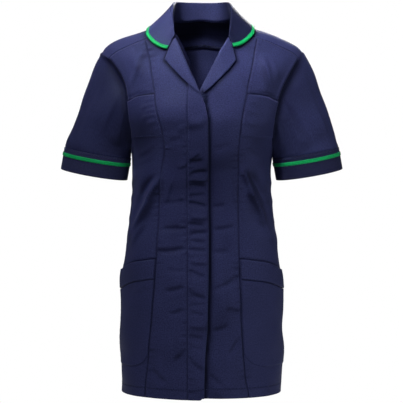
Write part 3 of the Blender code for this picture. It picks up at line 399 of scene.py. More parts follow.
# Weave and looks
TWILL_RIB = 0.0011
TWILL_LEAN = 0.6
YARN_SCALE = 420.0
YARN_CONTRAST = 3.4
DYE_SCALE = 14.0
RIB_RELIEF = 0.22
YARN_RELIEF = 0.56
YARN_SHARE = 0.75
DYE_SHARE = 0.25
BUMP_STRENGTH = 0.6
ROUGHNESS_SPREAD = 0.08
SHEEN_ROUGHNESS = 0.45
SPECULAR = 0.08
BLUE_GLOSS = (0.5, 0.6, 1.0, 1.0)
GREEN_GLOSS = (0.5, 1.0, 0.6, 1.0)
SHEEN_TINT = (0.45, 0.5, 1.0, 1.0)
# Dark colour that painted shade pulls the cloth towards: seam grooves, creases, shadows and broad shade
# patches
PAINTED_SHADE_COLOUR = (0.12, 0.12, 0.16, 1.0)

# Studio, in metres
WHITE = (1.0, 1.0, 1.0, 1.0)
FLOOR_Z = -1.15
FLOOR_RADIUS = 14.0
WORLD_LIGHT = 0.03
CAMERA_PLACE = (0.0, -2.9, -0.3)
CAMERA_LENS = 132.8
CAMERA_SHIFT = (-0.0005, -0.0638)
# Lamps: name, place, aim, size, spread, power
LAMPS = (
    ("key", (-0.95, -0.7, 2.25), (0.0, 0.0, -0.15), 0.7, 180.0, 60.0),
    ("chest_light", (-0.5, -1.0, 1.35), (0.03, 0.0, 0.0), 0.4, 20.0, 1.4),
    ("side_fill", (2.6, -0.9, 0.0), (0.0, 0.0, -0.35), 1.4, 180.0, 14.0),
    ("low_fill", (1.6, -2.0, -0.9), (0.0, 0.0, -0.5), 1.0, 180.0, 13.0),
    ("front_fill", (0.3, -2.8, 0.6), (0.0, 0.0, -0.4), 1.2, 180.0, 8.0),
    ("back_light", (0.3, 2.4, 0.9), (0.0, 0.0, -0.3), 1.0, 180.0, 70.0),
)


# Reading the tables

def rising(columns, name):
    """A table's first column and a named one, with the first rising."""
    places, values = next(iter(columns.values())), columns[name]
    return (places[::-1], values[::-1]) if places[0] > places[-1] else (places, values)


def curve(columns, name, at):
    """Read a column at places, on a smooth curve that never overshoots the table's rows."""
    places, values = rising(columns, name)
    at = np.clip(at, places[0], places[-1])
    step = np.diff(values) / np.diff(places)
    both = step[:-1] * step[1:]
    slopes = np.zeros(len(places))
    slopes[1:-1] = np.where(both > 0.0, 2.0 * both / np.where(both > 0.0, step[:-1] + step[1:], 1.0), 0.0)
    k = np.clip(np.searchsorted(places, at) - 1, 0, len(places) - 2)
    span = places[k + 1] - places[k]
    t = (at - places[k]) / span
    rise = values[k + 1] - values[k]
    start, end = slopes[k] * span, slopes[k + 1] * span
    return values[k] + t * start + t * t * (3 * rise - 2 * start - end) + t**3 * (start + end - 2 * rise)


def straight(columns, name, at):
    return np.interp(at, *rising(columns, name))


# Small helpers

def lerp(a, b, t):
    return a + (b - a) * t


def smooth_step(t):
    t = np.clip(t, 0.0, 1.0)
    return t * t * (3.0 - 2.0 * t)


def fade_ends(t, past, span):
    """1 along a line that t runs along from 0 to 1, fading to 0 a little past its ends."""
    return smooth_step((t + past) / span) * smooth_step((1.0 + past - t) / span)


def bell(distance, width):
    return np.exp(-((distance / width) ** 2))


def unit(vectors):
    return vectors / np.maximum(np.linalg.norm(vectors, axis=-1, keepdims=True), 1e-9)


def signed_power(value, power):
    return np.sign(value) * np.abs(value) ** power


def half_turn(angle):
    """The same angle, between -180 and 180 degrees."""
    return (angle + 180.0) % 360.0 - 180.0


def mirrored(side):
    return np.array((side, 1.0, 1.0))


def same_shape(angle, level):
    return np.broadcast_arrays(np.asarray(angle, float), np.asarray(level, float))


# Torso surface: an angle from centre front and a level, millimetres below the bust line or degrees above it

HALF_AT_BUST = float(curve(TORSO, "half_width", BUST_Z))
ARCSINE_ROUNDS = 14


def ridge_z(x):
    return curve(RIDGE, "z", np.abs(x))


def chest_half(behind):
    return np.where(behind, BACK_CHEST_HALF, FRONT_CHEST_HALF)


def arch_width(level, behind, side):
    base = chest_half(behind)
    front_flare = np.where(np.asarray(side) > 0.0, LEFT_ARMHOLE_FLARE, RIGHT_ARMHOLE_FLARE)
    flare = np.where(behind, BACK_ARMHOLE_FLARE, front_flare)
    return base + (SHOULDER_TIP_X - base) * np.maximum(np.sin(np.radians(level)), 0.0) ** flare


def angle_for(x, half_width):
    ratio = np.minimum(np.abs(x) / half_width, 1.0) ** (SECTION_POWER / 2.0)
    return np.sign(x) * np.degrees(np.arcsin(ratio))


def armhole_angle(behind):
    return angle_for(chest_half(behind), HALF_AT_BUST)


def skin(angle, level):
    """Points of the smooth torso, in millimetres."""
    angle, level = same_shape(angle, level)
    turn = half_turn(angle)
    behind = np.abs(turn) > 90.0
    theta = np.radians(np.where(behind, np.where(turn < 0.0, -1.0, 1.0) * (180.0 - np.abs(turn)), turn))
    across = signed_power(np.sin(theta), 2.0 / SECTION_POWER)
    deep = np.maximum(np.cos(theta), 0.0) ** (2.0 / SECTION_POWER)
    z_low = BUST_Z + np.minimum(level, 0.0)
    depth = np.where(behind, curve(TORSO, "back_depth", z_low), -curve(TORSO, "front_depth", z_low))
    arch = np.radians(np.maximum(level, 0.0))
    share = HALF_AT_BUST * across / chest_half(behind)
    bend = signed_power(np.cos(arch), np.where(behind, BACK_ARCH_POWER, FRONT_ARCH_POWER))
    low = level <= 0.0
    x = np.where(low, curve(TORSO, "half_width", z_low) * across, share * arch_width(level, behind, turn))
    y = depth * deep * np.where(low, 1.0, bend)
    z = np.where(low, z_low, BUST_Z + (ridge_z(share * SHOULDER_TIP_X) - BUST_Z) * np.sin(arch))
    return np.stack((x, y, z), axis=-1)


def skin_normal(angle, level):
    angle, level = same_shape(angle, level)
    step = 0.4
    behind = np.abs(half_turn(angle)) > 90.0
    across = skin(angle + step, level) - skin(angle - step, level)
    below = np.where(np.abs(level) > step, level - step, level)
    normal = unit(np.cross(across, skin(angle, level + step) - skin(angle, below)))
    outward = skin(angle, level) * np.array((1.0, 1.0, 0.0))
    outward[..., 2] = np.maximum(level, 0.0)
    by_depth = normal[..., 1] * np.where(behind, 1.0, -1.0)
    by_side = np.sum(normal * outward, axis=-1)
    wrong = np.where(np.abs(normal[..., 1]) > 0.3, by_depth, by_side) < 0.0
    return normal * np.where(wrong, -1.0, 1.0)[..., None]


def along_line(a, b, a1, b1, a2, b2):
    """Share of the way along a line, and the distance from it."""
    da, db = a2 - a1, b2 - b1
    length = math.hypot(da, db)
    return ((a - a1) * da + (b - b1) * db) / length**2, ((a - a1) * db - (b - b1) * da) / length


def fold_height(x, z, behind):
    total = np.zeros(np.shape(x))
    for side, x1, z1, x2, z2, width, height in FOLDS:
        t, apart = along_line(x, z, x1, z1, x2, z2)
        there = height * fade_ends(t, *FOLD_FADE) * bell(apart, width)
        total += np.where(behind == (side < 0), there, 0.0)
    return total


def crease_height(points, normals):
    """Height of the lean above the bust, the small creases and the soft unevenness of the cloth."""
    x, y, z = points[..., 0], points[..., 1], points[..., 2]
    views = {"front": (-normals[..., 1], x), "back": (normals[..., 1], x),
             "right": (-normals[..., 0], y), "left": (normals[..., 0], y)}
    inside = smooth_step((CHEST_FADE_X[1] - np.abs(x)) / (CHEST_FADE_X[1] - CHEST_FADE_X[0]))
    wavy = z + BUST_WAVE * np.cos(x * math.pi / BUST_WAVE_X) + 0.25 * BUST_WAVE * np.sin(x / 19.0)
    total = curve(CHEST_LEAN, "height", wavy) * inside * smooth_step(-normals[..., 1] / 0.35)
    for view, creases in CREASES.items():
        facing, a = views[view]
        seen = smooth_step((facing - 0.3) / 0.4)
        for a1, z1, a2, z2, width, height, bow in creases:
            t, apart = along_line(a, z, a1, z1, a2, z2)
            bowed = apart - bow * 4.0 * t * (1.0 - t)
            total += seen * height * fade_ends(t, *CREASE_FADE) * bell(bowed, width)
    for rx, ry, rz, length, height, shift in RIPPLES:
        total += height * np.sin(2.0 * math.pi * (x * rx + y * ry + z * rz) / length + shift)
    return total


def torso(angle, level, lift=0.0, side=0):
    """Points of the cloth's face moved out by lift, and the outward normals."""
    points = skin(angle, level)
    normals = skin_normal(angle, level)
    x, z = points[..., 0], points[..., 2]
    front = points[..., 1] < 0.0
    height = fold_height(x, z, ~front) + crease_height(points, normals) + lift
    if side > 0:
        sideways = smooth_step((UNDERLAP_X[1] - x) / (UNDERLAP_X[1] - UNDERLAP_X[0]))
        downward = smooth_step((UNDERLAP_Z[0] - z) / (UNDERLAP_Z[0] - UNDERLAP_Z[1]))
        height = height - np.where(front, UNDERLAP_SET_BACK * sideways * downward, 0.0)
    return points + normals * np.asarray(height)[..., None], normals


def arch_level(x_share, z):
    """Degrees above the bust line at which the arch over a share of the shoulder reaches z."""
    height = (np.maximum(z, BUST_Z) - BUST_Z) / (ridge_z(x_share * SHOULDER_TIP_X) - BUST_Z)
    return np.degrees(np.arcsin(np.minimum(height, 1.0)))


def front_angle(x_share):
    return angle_for(x_share * FRONT_CHEST_HALF, HALF_AT_BUST)


def level_and_angle(x, z, side):
    level = np.full(np.broadcast(x, z).shape, 30.0)
    for _ in range(ARCSINE_ROUNDS):
        share = x / arch_width(level, False, side)
        level = arch_level(share, z)
    low = z <= BUST_Z
    below = angle_for(x, curve(TORSO, "half_width", z))
    return np.where(low, z - BUST_Z, level), np.where(low, below, front_angle(share))


def seam_x(seam, z):
    read = straight if seam is RIGHT_FRONT_EDGE or seam is LEFT_FRONT_EDGE else curve
    return read(seam, "x", z)


def seam_angle(seam, level, side):
    level = np.asarray(level, float)
    z_low = BUST_Z + np.minimum(level, 0.0)
    below = angle_for(seam_x(seam, z_low), curve(TORSO, "half_width", z_low))
    up = np.maximum(level, 0.0)
    share = np.full(level.shape, 0.5)
    for _ in range(ARCSINE_ROUNDS):
        z = BUST_Z + (ridge_z(share * SHOULDER_TIP_X) - BUST_Z) * np.sin(np.radians(up))
        share = seam_x(seam, z) / arch_width(up, False, side)
    return np.where(level <= 0.0, below, front_angle(share))


def fly_stitch_angle(level):
    z_low = BUST_Z + np.minimum(level, 0.0)
    below = angle_for(FLY_STITCH_X, curve(TORSO, "half_width", z_low))
    share = FLY_STITCH_X / arch_width(np.maximum(level, 0.0), False, -1)
    return np.where(level <= 0.0, below, front_angle(share))


def side_edge_angle(level, behind):
    top = armhole_angle(behind)
    level = np.asarray(level, float)
    rise = np.clip(1.0 - level / UNDERARM_LEVEL, 0.0, 1.0)
    round_edge = top + (90.0 - top) * (1.0 - np.sqrt(1.0 - (1.0 - rise) ** 2))
    return np.where(level <= UNDERARM_LEVEL, 90.0, np.where(level >= 0.0, top, round_edge))


def back_seam_level(share):
    return curve(BACK_SEAM, "level", np.abs(share))


def hem_level(angle, level):
    """The level raised towards the hem, which isn't straight all round."""
    turn = half_turn(angle)
    left, right = curve(HEM_RISE, "left", np.abs(turn)), curve(HEM_RISE, "right", np.abs(turn))
    rise = np.where(turn > 0.0, left, right)
    return np.where(level < 0.0, level + rise * (level / HEM_LEVEL) ** 6, level)


def over_shoulder(share, level, side, lift=0.0):
    behind = level > 90.0
    angle = angle_for(share * chest_half(behind), HALF_AT_BUST)
    angle, level = np.where(behind, 180.0 - angle, angle), np.where(behind, 180.0 - level, level)
    return torso(side * angle, level, lift)


def half_width_share(x, level, side):
    behind = level > 90.0
    return x / arch_width(np.where(behind, 180.0 - level, level), behind, side)


# Grids of places on the cloth

def spaced(length, start_edge=True, end_edge=True, step=GRAIN_STEP):
    """Shares of a length in even steps, closer together at the edges."""
    step = step * DETAIL
    edge = [e for e in EDGE_STEPS if e < length / 3.0]
    low = edge if start_edge else [0.0]
    high = edge if end_edge else [0.0]
    middle_from, middle_to = low[-1], length - high[-1]
    count = max(2, round((middle_to - middle_from) / step))
    middle = [lerp(middle_from, middle_to, i / count) for i in range(count + 1)]
    return np.array(low[:-1] + middle + [length - e for e in reversed(high[:-1])]) / length


def lower_levels():
    """Levels from just above the hem's turned edge to the bust line."""
    low = lerp(HEM_LEVEL, UNDERARM_LEVEL, spaced(UNDERARM_LEVEL - HEM_LEVEL, True, False))
    stitched = HEM_STITCH_LEVEL + np.array((-1.6, -0.8, 0.0, 0.8, 1.6))
    low = np.sort(np.concatenate((low[np.abs(low - HEM_STITCH_LEVEL) > 2.2], stitched)))
    bend = UNDERARM_LEVEL * np.cos(np.linspace(0.0, math.pi / 2.0, round(22 / DETAIL)))
    return np.concatenate((low, bend[1:-1], [0.0]))


def hem_rows(levels):
    """The rows of a hemmed piece: up inside, round the fold at the hem and up outside."""
    inside = [(HEM_LEVEL + rise, -HEM_GAP) for rise in (HEM_TURN, 15.0, 10.0, 5.0, 2.0, 0.7)]
    fold = [(HEM_LEVEL + 0.15, -HEM_GAP * 0.8), (HEM_LEVEL, -HEM_GAP * 0.4)]
    return inside + fold + [(level, 0.0) for level in levels]


def front_levels():
    return np.concatenate((lower_levels(), FRONT_SEAM_LEVEL * spaced(158.0, False, True)[1:]))


def grid_of(rows, columns):
    """Levels, shares and lifts of a grid: its rows are (level, lift) and its columns (share, lift)."""
    rows, columns = np.array(rows, dtype=float), np.array(columns, dtype=float)
    return rows[:, :1], columns[None, :, 0], rows[:, 1:] + columns[None, :, 1]


def arcs(points, axis):
    steps = np.linalg.norm(np.diff(points, axis=axis), axis=-1)
    zero = np.zeros_like(np.take(steps, [0], axis=axis))
    return np.cumsum(np.concatenate((zero, steps), axis=axis), axis=axis)


def steepness(height, points, axis):
    """Rise of a height for each millimetre of cloth, up the rows (0) or across them (1)."""
    run = np.gradient(arcs(points, axis), axis=axis)
    return np.gradient(height, axis=axis) / np.maximum(run, LEAST_RUN)


def uneven(distance, seed):
    """An uneven wave along a seam."""
    slow = 0.65 + 0.35 * np.sin(distance / 31.0 + seed * 2.7)
    turns = distance * 2 * math.pi
    wave = np.sin(turns / 12.7 + seed * 1.9) + 0.6 * np.sin(turns / 8.1 + seed * 4.1)
    return slow * (0.6 * wave + 0.3 * np.sin(turns / 21.0 + seed))


def sewn_edges(points, normals, edges, tucks=(0, 0, 0, 0)):
    """Draw the cloth down into its seams, with the puckers along them: edge to (dip, pucker, seed).

    The tucks count the columns and rows turned under at the left, right, bottom and top.
    """
    left, right, bottom, top = tucks
    rows, columns = points.shape[:2]
    first, last, low, high = left, columns - 1 - right, bottom, rows - 1 - top
    across, up = arcs(points, 1), arcs(points, 0)
    from_edge = {
        "left": (across - across[:, first:first + 1], up[:, first:first + 1]),
        "right": (across[:, last:last + 1] - across, up[:, last:last + 1]),
        "bottom": (up - up[low:low + 1], across[low:low + 1]),
        "top": (up[high:high + 1] - up, across[high:high + 1]),
    }
    height, shade = np.zeros((rows, columns)), np.zeros((rows, columns))
    if "armhole" in edges:
        distance = from_edge["right"][0]
        above_arm = smooth_step((points[..., 2] - UNDERARM_Z - 20.0) / 50.0)
        height += ARMHOLE_ROLL * above_arm * bell(distance - ARMHOLE_ROLL_AT, ARMHOLE_ROLL_WIDTH)
        edges = {edge: value for edge, value in edges.items() if edge != "armhole"}
    for edge, (dip, pucker, seed) in edges.items():
        distance, along = from_edge[edge]
        distance = np.maximum(distance, 0.0)
        height -= dip * SEAM_DIP * bell(distance, SEAM_DIP_WIDTH)
        height += dip * SEAM_ROLL * bell(distance - SEAM_ROLL_AT, SEAM_ROLL_WIDTH)
        near = bell(distance, PUCKER_REACH) * (1.0 - bell(distance, 2.2))
        height += pucker * uneven(along, seed) * near
        # Painted shade in the seam's groove, darkest at the edge
        shade = np.maximum(shade, SEAM_SHADE_DEPTH * min(dip, 1.0) * bell(distance, SEAM_SHADE_WIDTH))
    sewn = np.zeros((rows, columns))
    sewn[low:high + 1, first:last + 1] = 1.0
    # Rows and columns turned under get full painted shade
    return points + normals * (height * sewn)[..., None], np.where(sewn > 0.0, shade, 1.0)


def crease_shade(points, normals, smooth, lift, sideways):
    """Shade of the slopes that face down, or away from the key lamp, on the cloth's outer layer."""
    rise = np.sum((points - smooth) * normals, axis=-1)
    outer = (lift > LEAST_LIFT) * 1.0
    for axis in (0, 1):
        for step in (-1, 1):
            outer = np.minimum(outer, np.roll(outer, step, axis=axis))
    run = np.sign(points[:, -1, 0] - points[:, 0, 0])[:, None]
    steep = np.maximum(steepness(rise, points, 0) - LEAST_SLOPE, 0.0) * CREASE_SHADE
    turned = np.maximum(-run * steepness(rise, points, 1) - LEAST_SLOPE, 0.0) * sideways
    return np.minimum(steep + turned, CREASE_SHADE_MOST) * outer


def near_line(points, line, reach):
    """Shade close to a line of points: full on it and gone at about twice the reach."""
    nearest = np.full(points.shape[:2], 1e9)
    for place in line:
        nearest = np.minimum(nearest, np.sum((points - place) ** 2, axis=-1))
    return np.exp(-nearest / reach**2)


def painted_shade_patches(points):
    """Broad soft painted shade where the front turns away from the lamps."""
    x, z = points[..., 0], points[..., 2]
    return sum(amount * bell(x - px, width) * bell(z - pz, height)
               for px, pz, width, height, amount in PAINTED_SHADE_PATCHES)


# Materials

def new_node(tree, kind, **settings):
    node = tree.nodes.new(kind)
    for name, value in settings.items():
        setattr(node, name, value)
    return node


def fill(node, values):
    for name, value in values.items():
        node.inputs[name].default_value = value


def math_node(tree, operation, *values):
    node = new_node(tree, "ShaderNodeMath", operation=operation)
    for socket, value in zip(node.inputs, values):
        if isinstance(value, float):
            socket.default_value = value
        else:
            tree.links.new(value, socket)
    return node.outputs[0]


def noise(tree, place, scale):
    made = new_node(tree, "ShaderNodeTexNoise", noise_dimensions="3D")
    fill(made, {"Scale": scale, "Detail": 3.0})
    tree.links.new(place, made.inputs["Vector"])
    return made.outputs["Fac"]


def weave_group():
    """Diagonal ribs of a twill and the soft uneven dyeing of its yarns, on the cloth's own metres."""
    tree = bpy.data.node_groups.new("twill_weave", "ShaderNodeTree")
    tree.interface.new_socket(name="Cloth", in_out="INPUT", socket_type="NodeSocketVector")
    for name, value in (("Rib", TWILL_RIB), ("Lean", TWILL_LEAN)):
        socket = tree.interface.new_socket(name=name, in_out="INPUT", socket_type="NodeSocketFloat")
        socket.default_value = value
    for name in ("Relief", "Yarn", "Dye"):
        tree.interface.new_socket(name=name, in_out="OUTPUT", socket_type="NodeSocketFloat")
    start, end = new_node(tree, "NodeGroupInput"), new_node(tree, "NodeGroupOutput")
    parts = new_node(tree, "ShaderNodeSeparateXYZ")
    tree.links.new(start.outputs["Cloth"], parts.inputs[0])
    leaning = math_node(tree, "MULTIPLY", parts.outputs[1], start.outputs["Lean"])
    place = math_node(tree, "ADD", parts.outputs[0], leaning)
    turns = math_node(tree, "DIVIDE", place, start.outputs["Rib"])
    rib = math_node(tree, "SINE", math_node(tree, "MULTIPLY", turns, 2.0 * math.pi))
    yarn = noise(tree, start.outputs["Cloth"], YARN_SCALE)
    strong = math_node(tree, "MULTIPLY", math_node(tree, "SUBTRACT", yarn, 0.5), YARN_CONTRAST)
    uneven_yarn = math_node(tree, "ADD", strong, 0.5)
    soft_rib = math_node(tree, "MULTIPLY", math_node(tree, "ADD", rib, 1.0), RIB_RELIEF)
    relief = math_node(tree, "ADD", soft_rib, math_node(tree, "MULTIPLY", uneven_yarn, YARN_RELIEF))
    dye = noise(tree, start.outputs["Cloth"], DYE_SCALE)
    for name, value in (("Relief", relief), ("Yarn", uneven_yarn), ("Dye", dye)):
        tree.links.new(value, end.inputs[name])
    return tree


WEAVE = weave_group()


def cloth_material(name, dark, light, rib, lean, roughness, sheen, relief, gloss=BLUE_GLOSS):
    made = bpy.data.materials.new(name)
    made.use_nodes = True
    tree = made.node_tree
    shader = tree.nodes["Principled BSDF"]
    fill(shader, {
        "Metallic": 0.0, "Specular IOR Level": SPECULAR, "Specular Tint": gloss, "Sheen Weight": sheen,
        "Sheen Roughness": SHEEN_ROUGHNESS, "Sheen Tint": SHEEN_TINT})
    twill = new_node(tree, "ShaderNodeGroup", node_tree=WEAVE)
    fill(twill, {"Rib": rib, "Lean": lean})
    cloth_map = new_node(tree, "ShaderNodeUVMap", uv_map="cloth")
    tree.links.new(cloth_map.outputs["UV"], twill.inputs["Cloth"])
    mix = new_node(tree, "ShaderNodeMix", data_type="RGBA")
    fill(mix, {"A": (*dark, 1.0), "B": (*light, 1.0)})
    yarns = math_node(tree, "MULTIPLY", twill.outputs["Relief"], YARN_SHARE)
    dyed = math_node(tree, "MULTIPLY", twill.outputs["Dye"], DYE_SHARE)
    tree.links.new(math_node(tree, "ADD", yarns, dyed), mix.inputs["Factor"])
    # Painted shade: the "seam" attribute darkens the base colour towards a dark shade colour, in seam
    # grooves, creases, beside the collar, lapels, placket and pocket tops, and in broad patches where the
    # cloth turns from the lamps
    painted_shade_mix = new_node(tree, "ShaderNodeMix", data_type="RGBA", blend_type="MULTIPLY")
    fill(painted_shade_mix, {"B": PAINTED_SHADE_COLOUR})
    seam = new_node(tree, "ShaderNodeAttribute", attribute_name="seam")
    tree.links.new(seam.outputs["Fac"], painted_shade_mix.inputs["Factor"])
    tree.links.new(mix.outputs["Result"], painted_shade_mix.inputs["A"])
    tree.links.new(painted_shade_mix.outputs["Result"], shader.inputs["Base Color"])
    dull = math_node(tree, "MULTIPLY", twill.outputs["Yarn"], 2.0 * ROUGHNESS_SPREAD)
    rough = math_node(tree, "ADD", dull, roughness - ROUGHNESS_SPREAD)
    tree.links.new(rough, shader.inputs["Roughness"])
    bump = new_node(tree, "ShaderNodeBump")
    fill(bump, {"Strength": BUMP_STRENGTH, "Distance": relief * MM})
    tree.links.new(twill.outputs["Relief"], bump.inputs["Height"])
    tree.links.new(bump.outputs["Normal"], shader.inputs["Normal"])
    return made


# Each cloth by the record's slot, and the thread: dark and light yarns, rib, lean, roughness, sheen, relief
FINISHES = {
    "navy_cloth": cloth_material(
        "navy_twill", (0.0088, 0.0099, 0.033), (0.031, 0.036, 0.105),
        TWILL_RIB, TWILL_LEAN, 0.58, 0.02, 0.12),
    "navy_band": cloth_material(
        "navy_twill_band", (0.0076, 0.0082, 0.025), (0.0225, 0.0245, 0.068),
        TWILL_RIB, TWILL_LEAN, 0.62, 0.04, 0.12),
    "green_braid": cloth_material(
        "green_braid", (0.002, 0.13, 0.035), (0.006, 0.3, 0.085),
        0.0014, 0.0, 0.5, 0.05, 0.3, GREEN_GLOSS),
}
THREAD = cloth_material(
    "navy_thread", (0.012, 0.015, 0.055), (0.04, 0.05, 0.14), 0.0006, 0.8, 0.5, 0.1, 0.05)


# Building pieces

def add_object(name, data, material=None):
    made = bpy.data.objects.new(name, data)
    if material is not None:
        data.materials.append(material)
    bpy.context.scene.collection.objects.link(made)
    return made


def piece(node, points, outward, finish="navy_cloth", thickness=CLOTH, closed=False,
          shade=None):
    """One cut piece of cloth on a grid of points, rows up it and columns across it.

    outward is a row, a column and the direction that the face there has to look in.
    """
    rows, columns = points.shape[:2]
    bm = bmesh.new()
    bmesh.ops.create_grid(bm, x_segments=columns - 1, y_segments=rows - 1, size=1.0)
    mesh = bpy.data.meshes.new(node + "_cloth")
    bm.to_mesh(mesh)
    mesh.vertices.foreach_set("co", (points * MM).reshape(-1))
    across, up = arcs(points, 1), arcs(points, 0)
    across = across - across[:, columns // 2][:, None]
    flat = np.stack((across, up), axis=-1).reshape(-1, 2) * MM
    corners = np.zeros(len(mesh.loops), dtype=np.int32)
    mesh.loops.foreach_get("vertex_index", corners)
    layer = mesh.uv_layers.new(name="cloth")
    layer.data.foreach_set("uv", flat[corners].reshape(-1))
    # The "seam" attribute carries all of the piece's painted shade, not only that of its seams
    seam = mesh.attributes.new("seam", "FLOAT", "POINT")
    if shade is not None:
        seam.data.foreach_set("value", shade.reshape(-1).astype(np.float32))
    bm.clear()
    bm.from_mesh(mesh)
    if closed:
        bmesh.ops.remove_doubles(bm, verts=bm.verts[:], dist=1e-6)
    bm.faces.ensure_lookup_table()
    row, column, direction = outward
    face = bm.faces[row * (columns - 1) + column]
    face.normal_update()
    if face.normal.dot(Vector(direction)) < 0.0:
        bmesh.ops.reverse_faces(bm, faces=bm.faces[:])
    bm.to_mesh(mesh)
    bm.free()
    mesh.shade_smooth()
    made = add_object(node + "_cloth", mesh, FINISHES[finish])
    shell = made.modifiers.new("cloth", "SOLIDIFY")
    shell.thickness = thickness * MM
    shell.offset = -1.0
    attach(made, "root")
    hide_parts(node)


def middle_of(points, normals, row=0.5, column=0.5):
    j, i = int(points.shape[0] * row), int(points.shape[1] * column)
    return j, i, tuple(normals[j, i])


def torso_piece(name, rows, columns, angle_at, side, edges, tucks, probe=(0.5, 0.5),
                shading=None):
    """A hung piece on the torso: angle_at gives the angles for shares of its width and levels."""
    levels, shares, lift = grid_of(rows, columns)
    angles, levels = np.broadcast_arrays(angle_at(shares, levels), levels)
    hemmed = hem_level(angles, levels)
    points, normals = torso(angles, hemmed, lift, side)
    points, shade = sewn_edges(points, normals, edges, tucks)
    # Painted shade: on the creases' down-facing slopes, in broad patches, along the hem's stitch line and
    # from the piece's own shading
    painted_crease_shade = crease_shade(points, normals, skin(angles, hemmed), lift, CREASE_SIDE_SHADE)
    shade = np.maximum(shade, painted_crease_shade + painted_shade_patches(points))
    stitched = bell(levels - HEM_STITCH_LEVEL, STITCH_LINE_WIDTH) * (lift > -1.0)
    points = points - normals * (STITCH_LINE_DIP * stitched)[..., None]
    shade = np.maximum(shade, STITCH_LINE_SHADE * stitched)
    if shading is not None:
        shade = np.maximum(shade, shading(points, shares))
    piece(name, points, middle_of(points, normals, *probe), shade=shade)


# Fronts, back and yoke

def under_the_fly(points):
    """The shadow line that the placket's free edge leaves on the front under it."""
    edge = -seam_x(RIGHT_FRONT_EDGE, np.clip(points[..., 2], HEM_Z, -166.0))
    past = points[..., 0] - edge
    line = (FLY_SHADE * bell(past - FLY_SHADE_AT, FLY_SHADE_WIDTH)
            + FLY_SHADE_FAR * bell(np.maximum(past, 0.0), FLY_SHADE_REACH))
    return np.minimum(line, 1.0) * smooth_step((-140.0 - points[..., 2]) / 10.0)


def lapel_line(side, shape):
    t = np.linspace(0.0, 1.0, 60)
    x, z = (straight(shape, column, t) for column in ("edge_x", "edge_z"))
    level, angle = level_and_angle(x, z, side)
    return torso(side * angle, level, LAPEL_CLEARANCE, side)[0]


def under_the_collar(points, side):
    """Shade beside the edges of the collar and the lapel."""
    collar_line = collar_grid(side, np.linspace(0.0, 1.0, 70))[:, -1]
    lapel_edge = lapel_line(side, LAPEL_LEFT if side > 0 else LAPEL_RIGHT)
    beside = np.maximum(near_line(points, collar_line, COLLAR_SHADE_REACH),
                        near_line(points, lapel_edge, COLLAR_SHADE_REACH))
    return np.minimum(COLLAR_SHADE * beside, 1.0)


def under_pocket_tops(points, shares):
    """Painted shadow of the pockets' mouths on the panel behind them."""
    z, share = points[..., 2], np.clip(shares, 0.0, 1.0)
    return sum(bell(z - curve(shape, "top", share) - POCKET_MOUTH_AT, POCKET_MOUTH_WIDTH)
               for shape in (CHEST_POCKET, HIP_POCKET))


def front_centre(name, side, edge, princess, seed):
    def angle_at(share, level):
        inner = seam_angle(edge, level, side)
        if side < 0:
            inner = np.maximum(inner, fly_stitch_angle(level))
        outer = seam_angle(princess, level, side) - GAP_ANGLE
        clear_of_neck = np.where(level > FRONT_SEAM_LEVEL + 0.1, 0.45, 0.0)
        return side * lerp(lerp(inner + GAP_ANGLE, outer, clear_of_neck), outer, share)

    def shading(points, shares):
        beside = under_the_collar(points, side)
        return np.maximum(beside, under_the_fly(points)) if side > 0 else beside

    columns = [(share, 0.0) for share in spaced(78.0)]
    edges = {"right": (1.0, 0.8, seed), "top": (1.0, 0.3, seed + 1.0)}
    if side < 0:
        edges["left"] = (0.6, 0.85, seed + 2.0)
        columns = TUCKED_LEFT + columns
    torso_piece(name, hem_rows(front_levels()) + TUCKED_TOP, columns, angle_at, side, edges,
                (2 if side < 0 else 0, 0, 0, 2), shading=shading)


def front_placket():
    levels = [level for level in front_levels()
              if fly_stitch_angle(level) - seam_angle(RIGHT_FRONT_EDGE, level, -1) >= 1.5]

    def angle_at(share, level):
        edge = seam_angle(RIGHT_FRONT_EDGE, level, -1)
        return -lerp(fly_stitch_angle(level) - GAP_ANGLE, edge, share)

    outside = [(share, 0.0) for share in spaced(39.0, True, False, 3.0)[:-1]]
    fold = [(0.985, 0.0), (0.996, -0.2), (1.0, -0.7), (1.0, -1.3), (0.996, -FLY_TURN_GAP + 0.1)]
    inside = [(share, -FLY_TURN_GAP) for share in (0.985, 0.93, 0.8, 0.6, 0.4, 0.2)]
    torso_piece("front_placket", hem_rows(levels), outside + fold + inside, angle_at, -1,
                {"left": (0.6, 0.9, 7.0)}, (0, 0, 0, 0), (0.5, 0.2))


def front_side(name, side, princess, seed):
    def angle_at(share, level):
        inner = seam_angle(princess, level, side) + GAP_ANGLE
        return side * lerp(inner, side_edge_angle(level, False) - GAP_ANGLE, share)

    columns = TUCKED_LEFT + [(share, 0.0) for share in spaced(100.0)]
    edges = {"left": (1.0, 0.8, seed), "right": (0.9, 0.1, seed + 1.0), "top": (1.0, 0.3, seed + 2.0),
             "armhole": True}
    torso_piece(name, hem_rows(front_levels()) + TUCKED_TOP, columns, angle_at, side, edges, (2, 0, 0, 2),
                shading=under_pocket_tops)


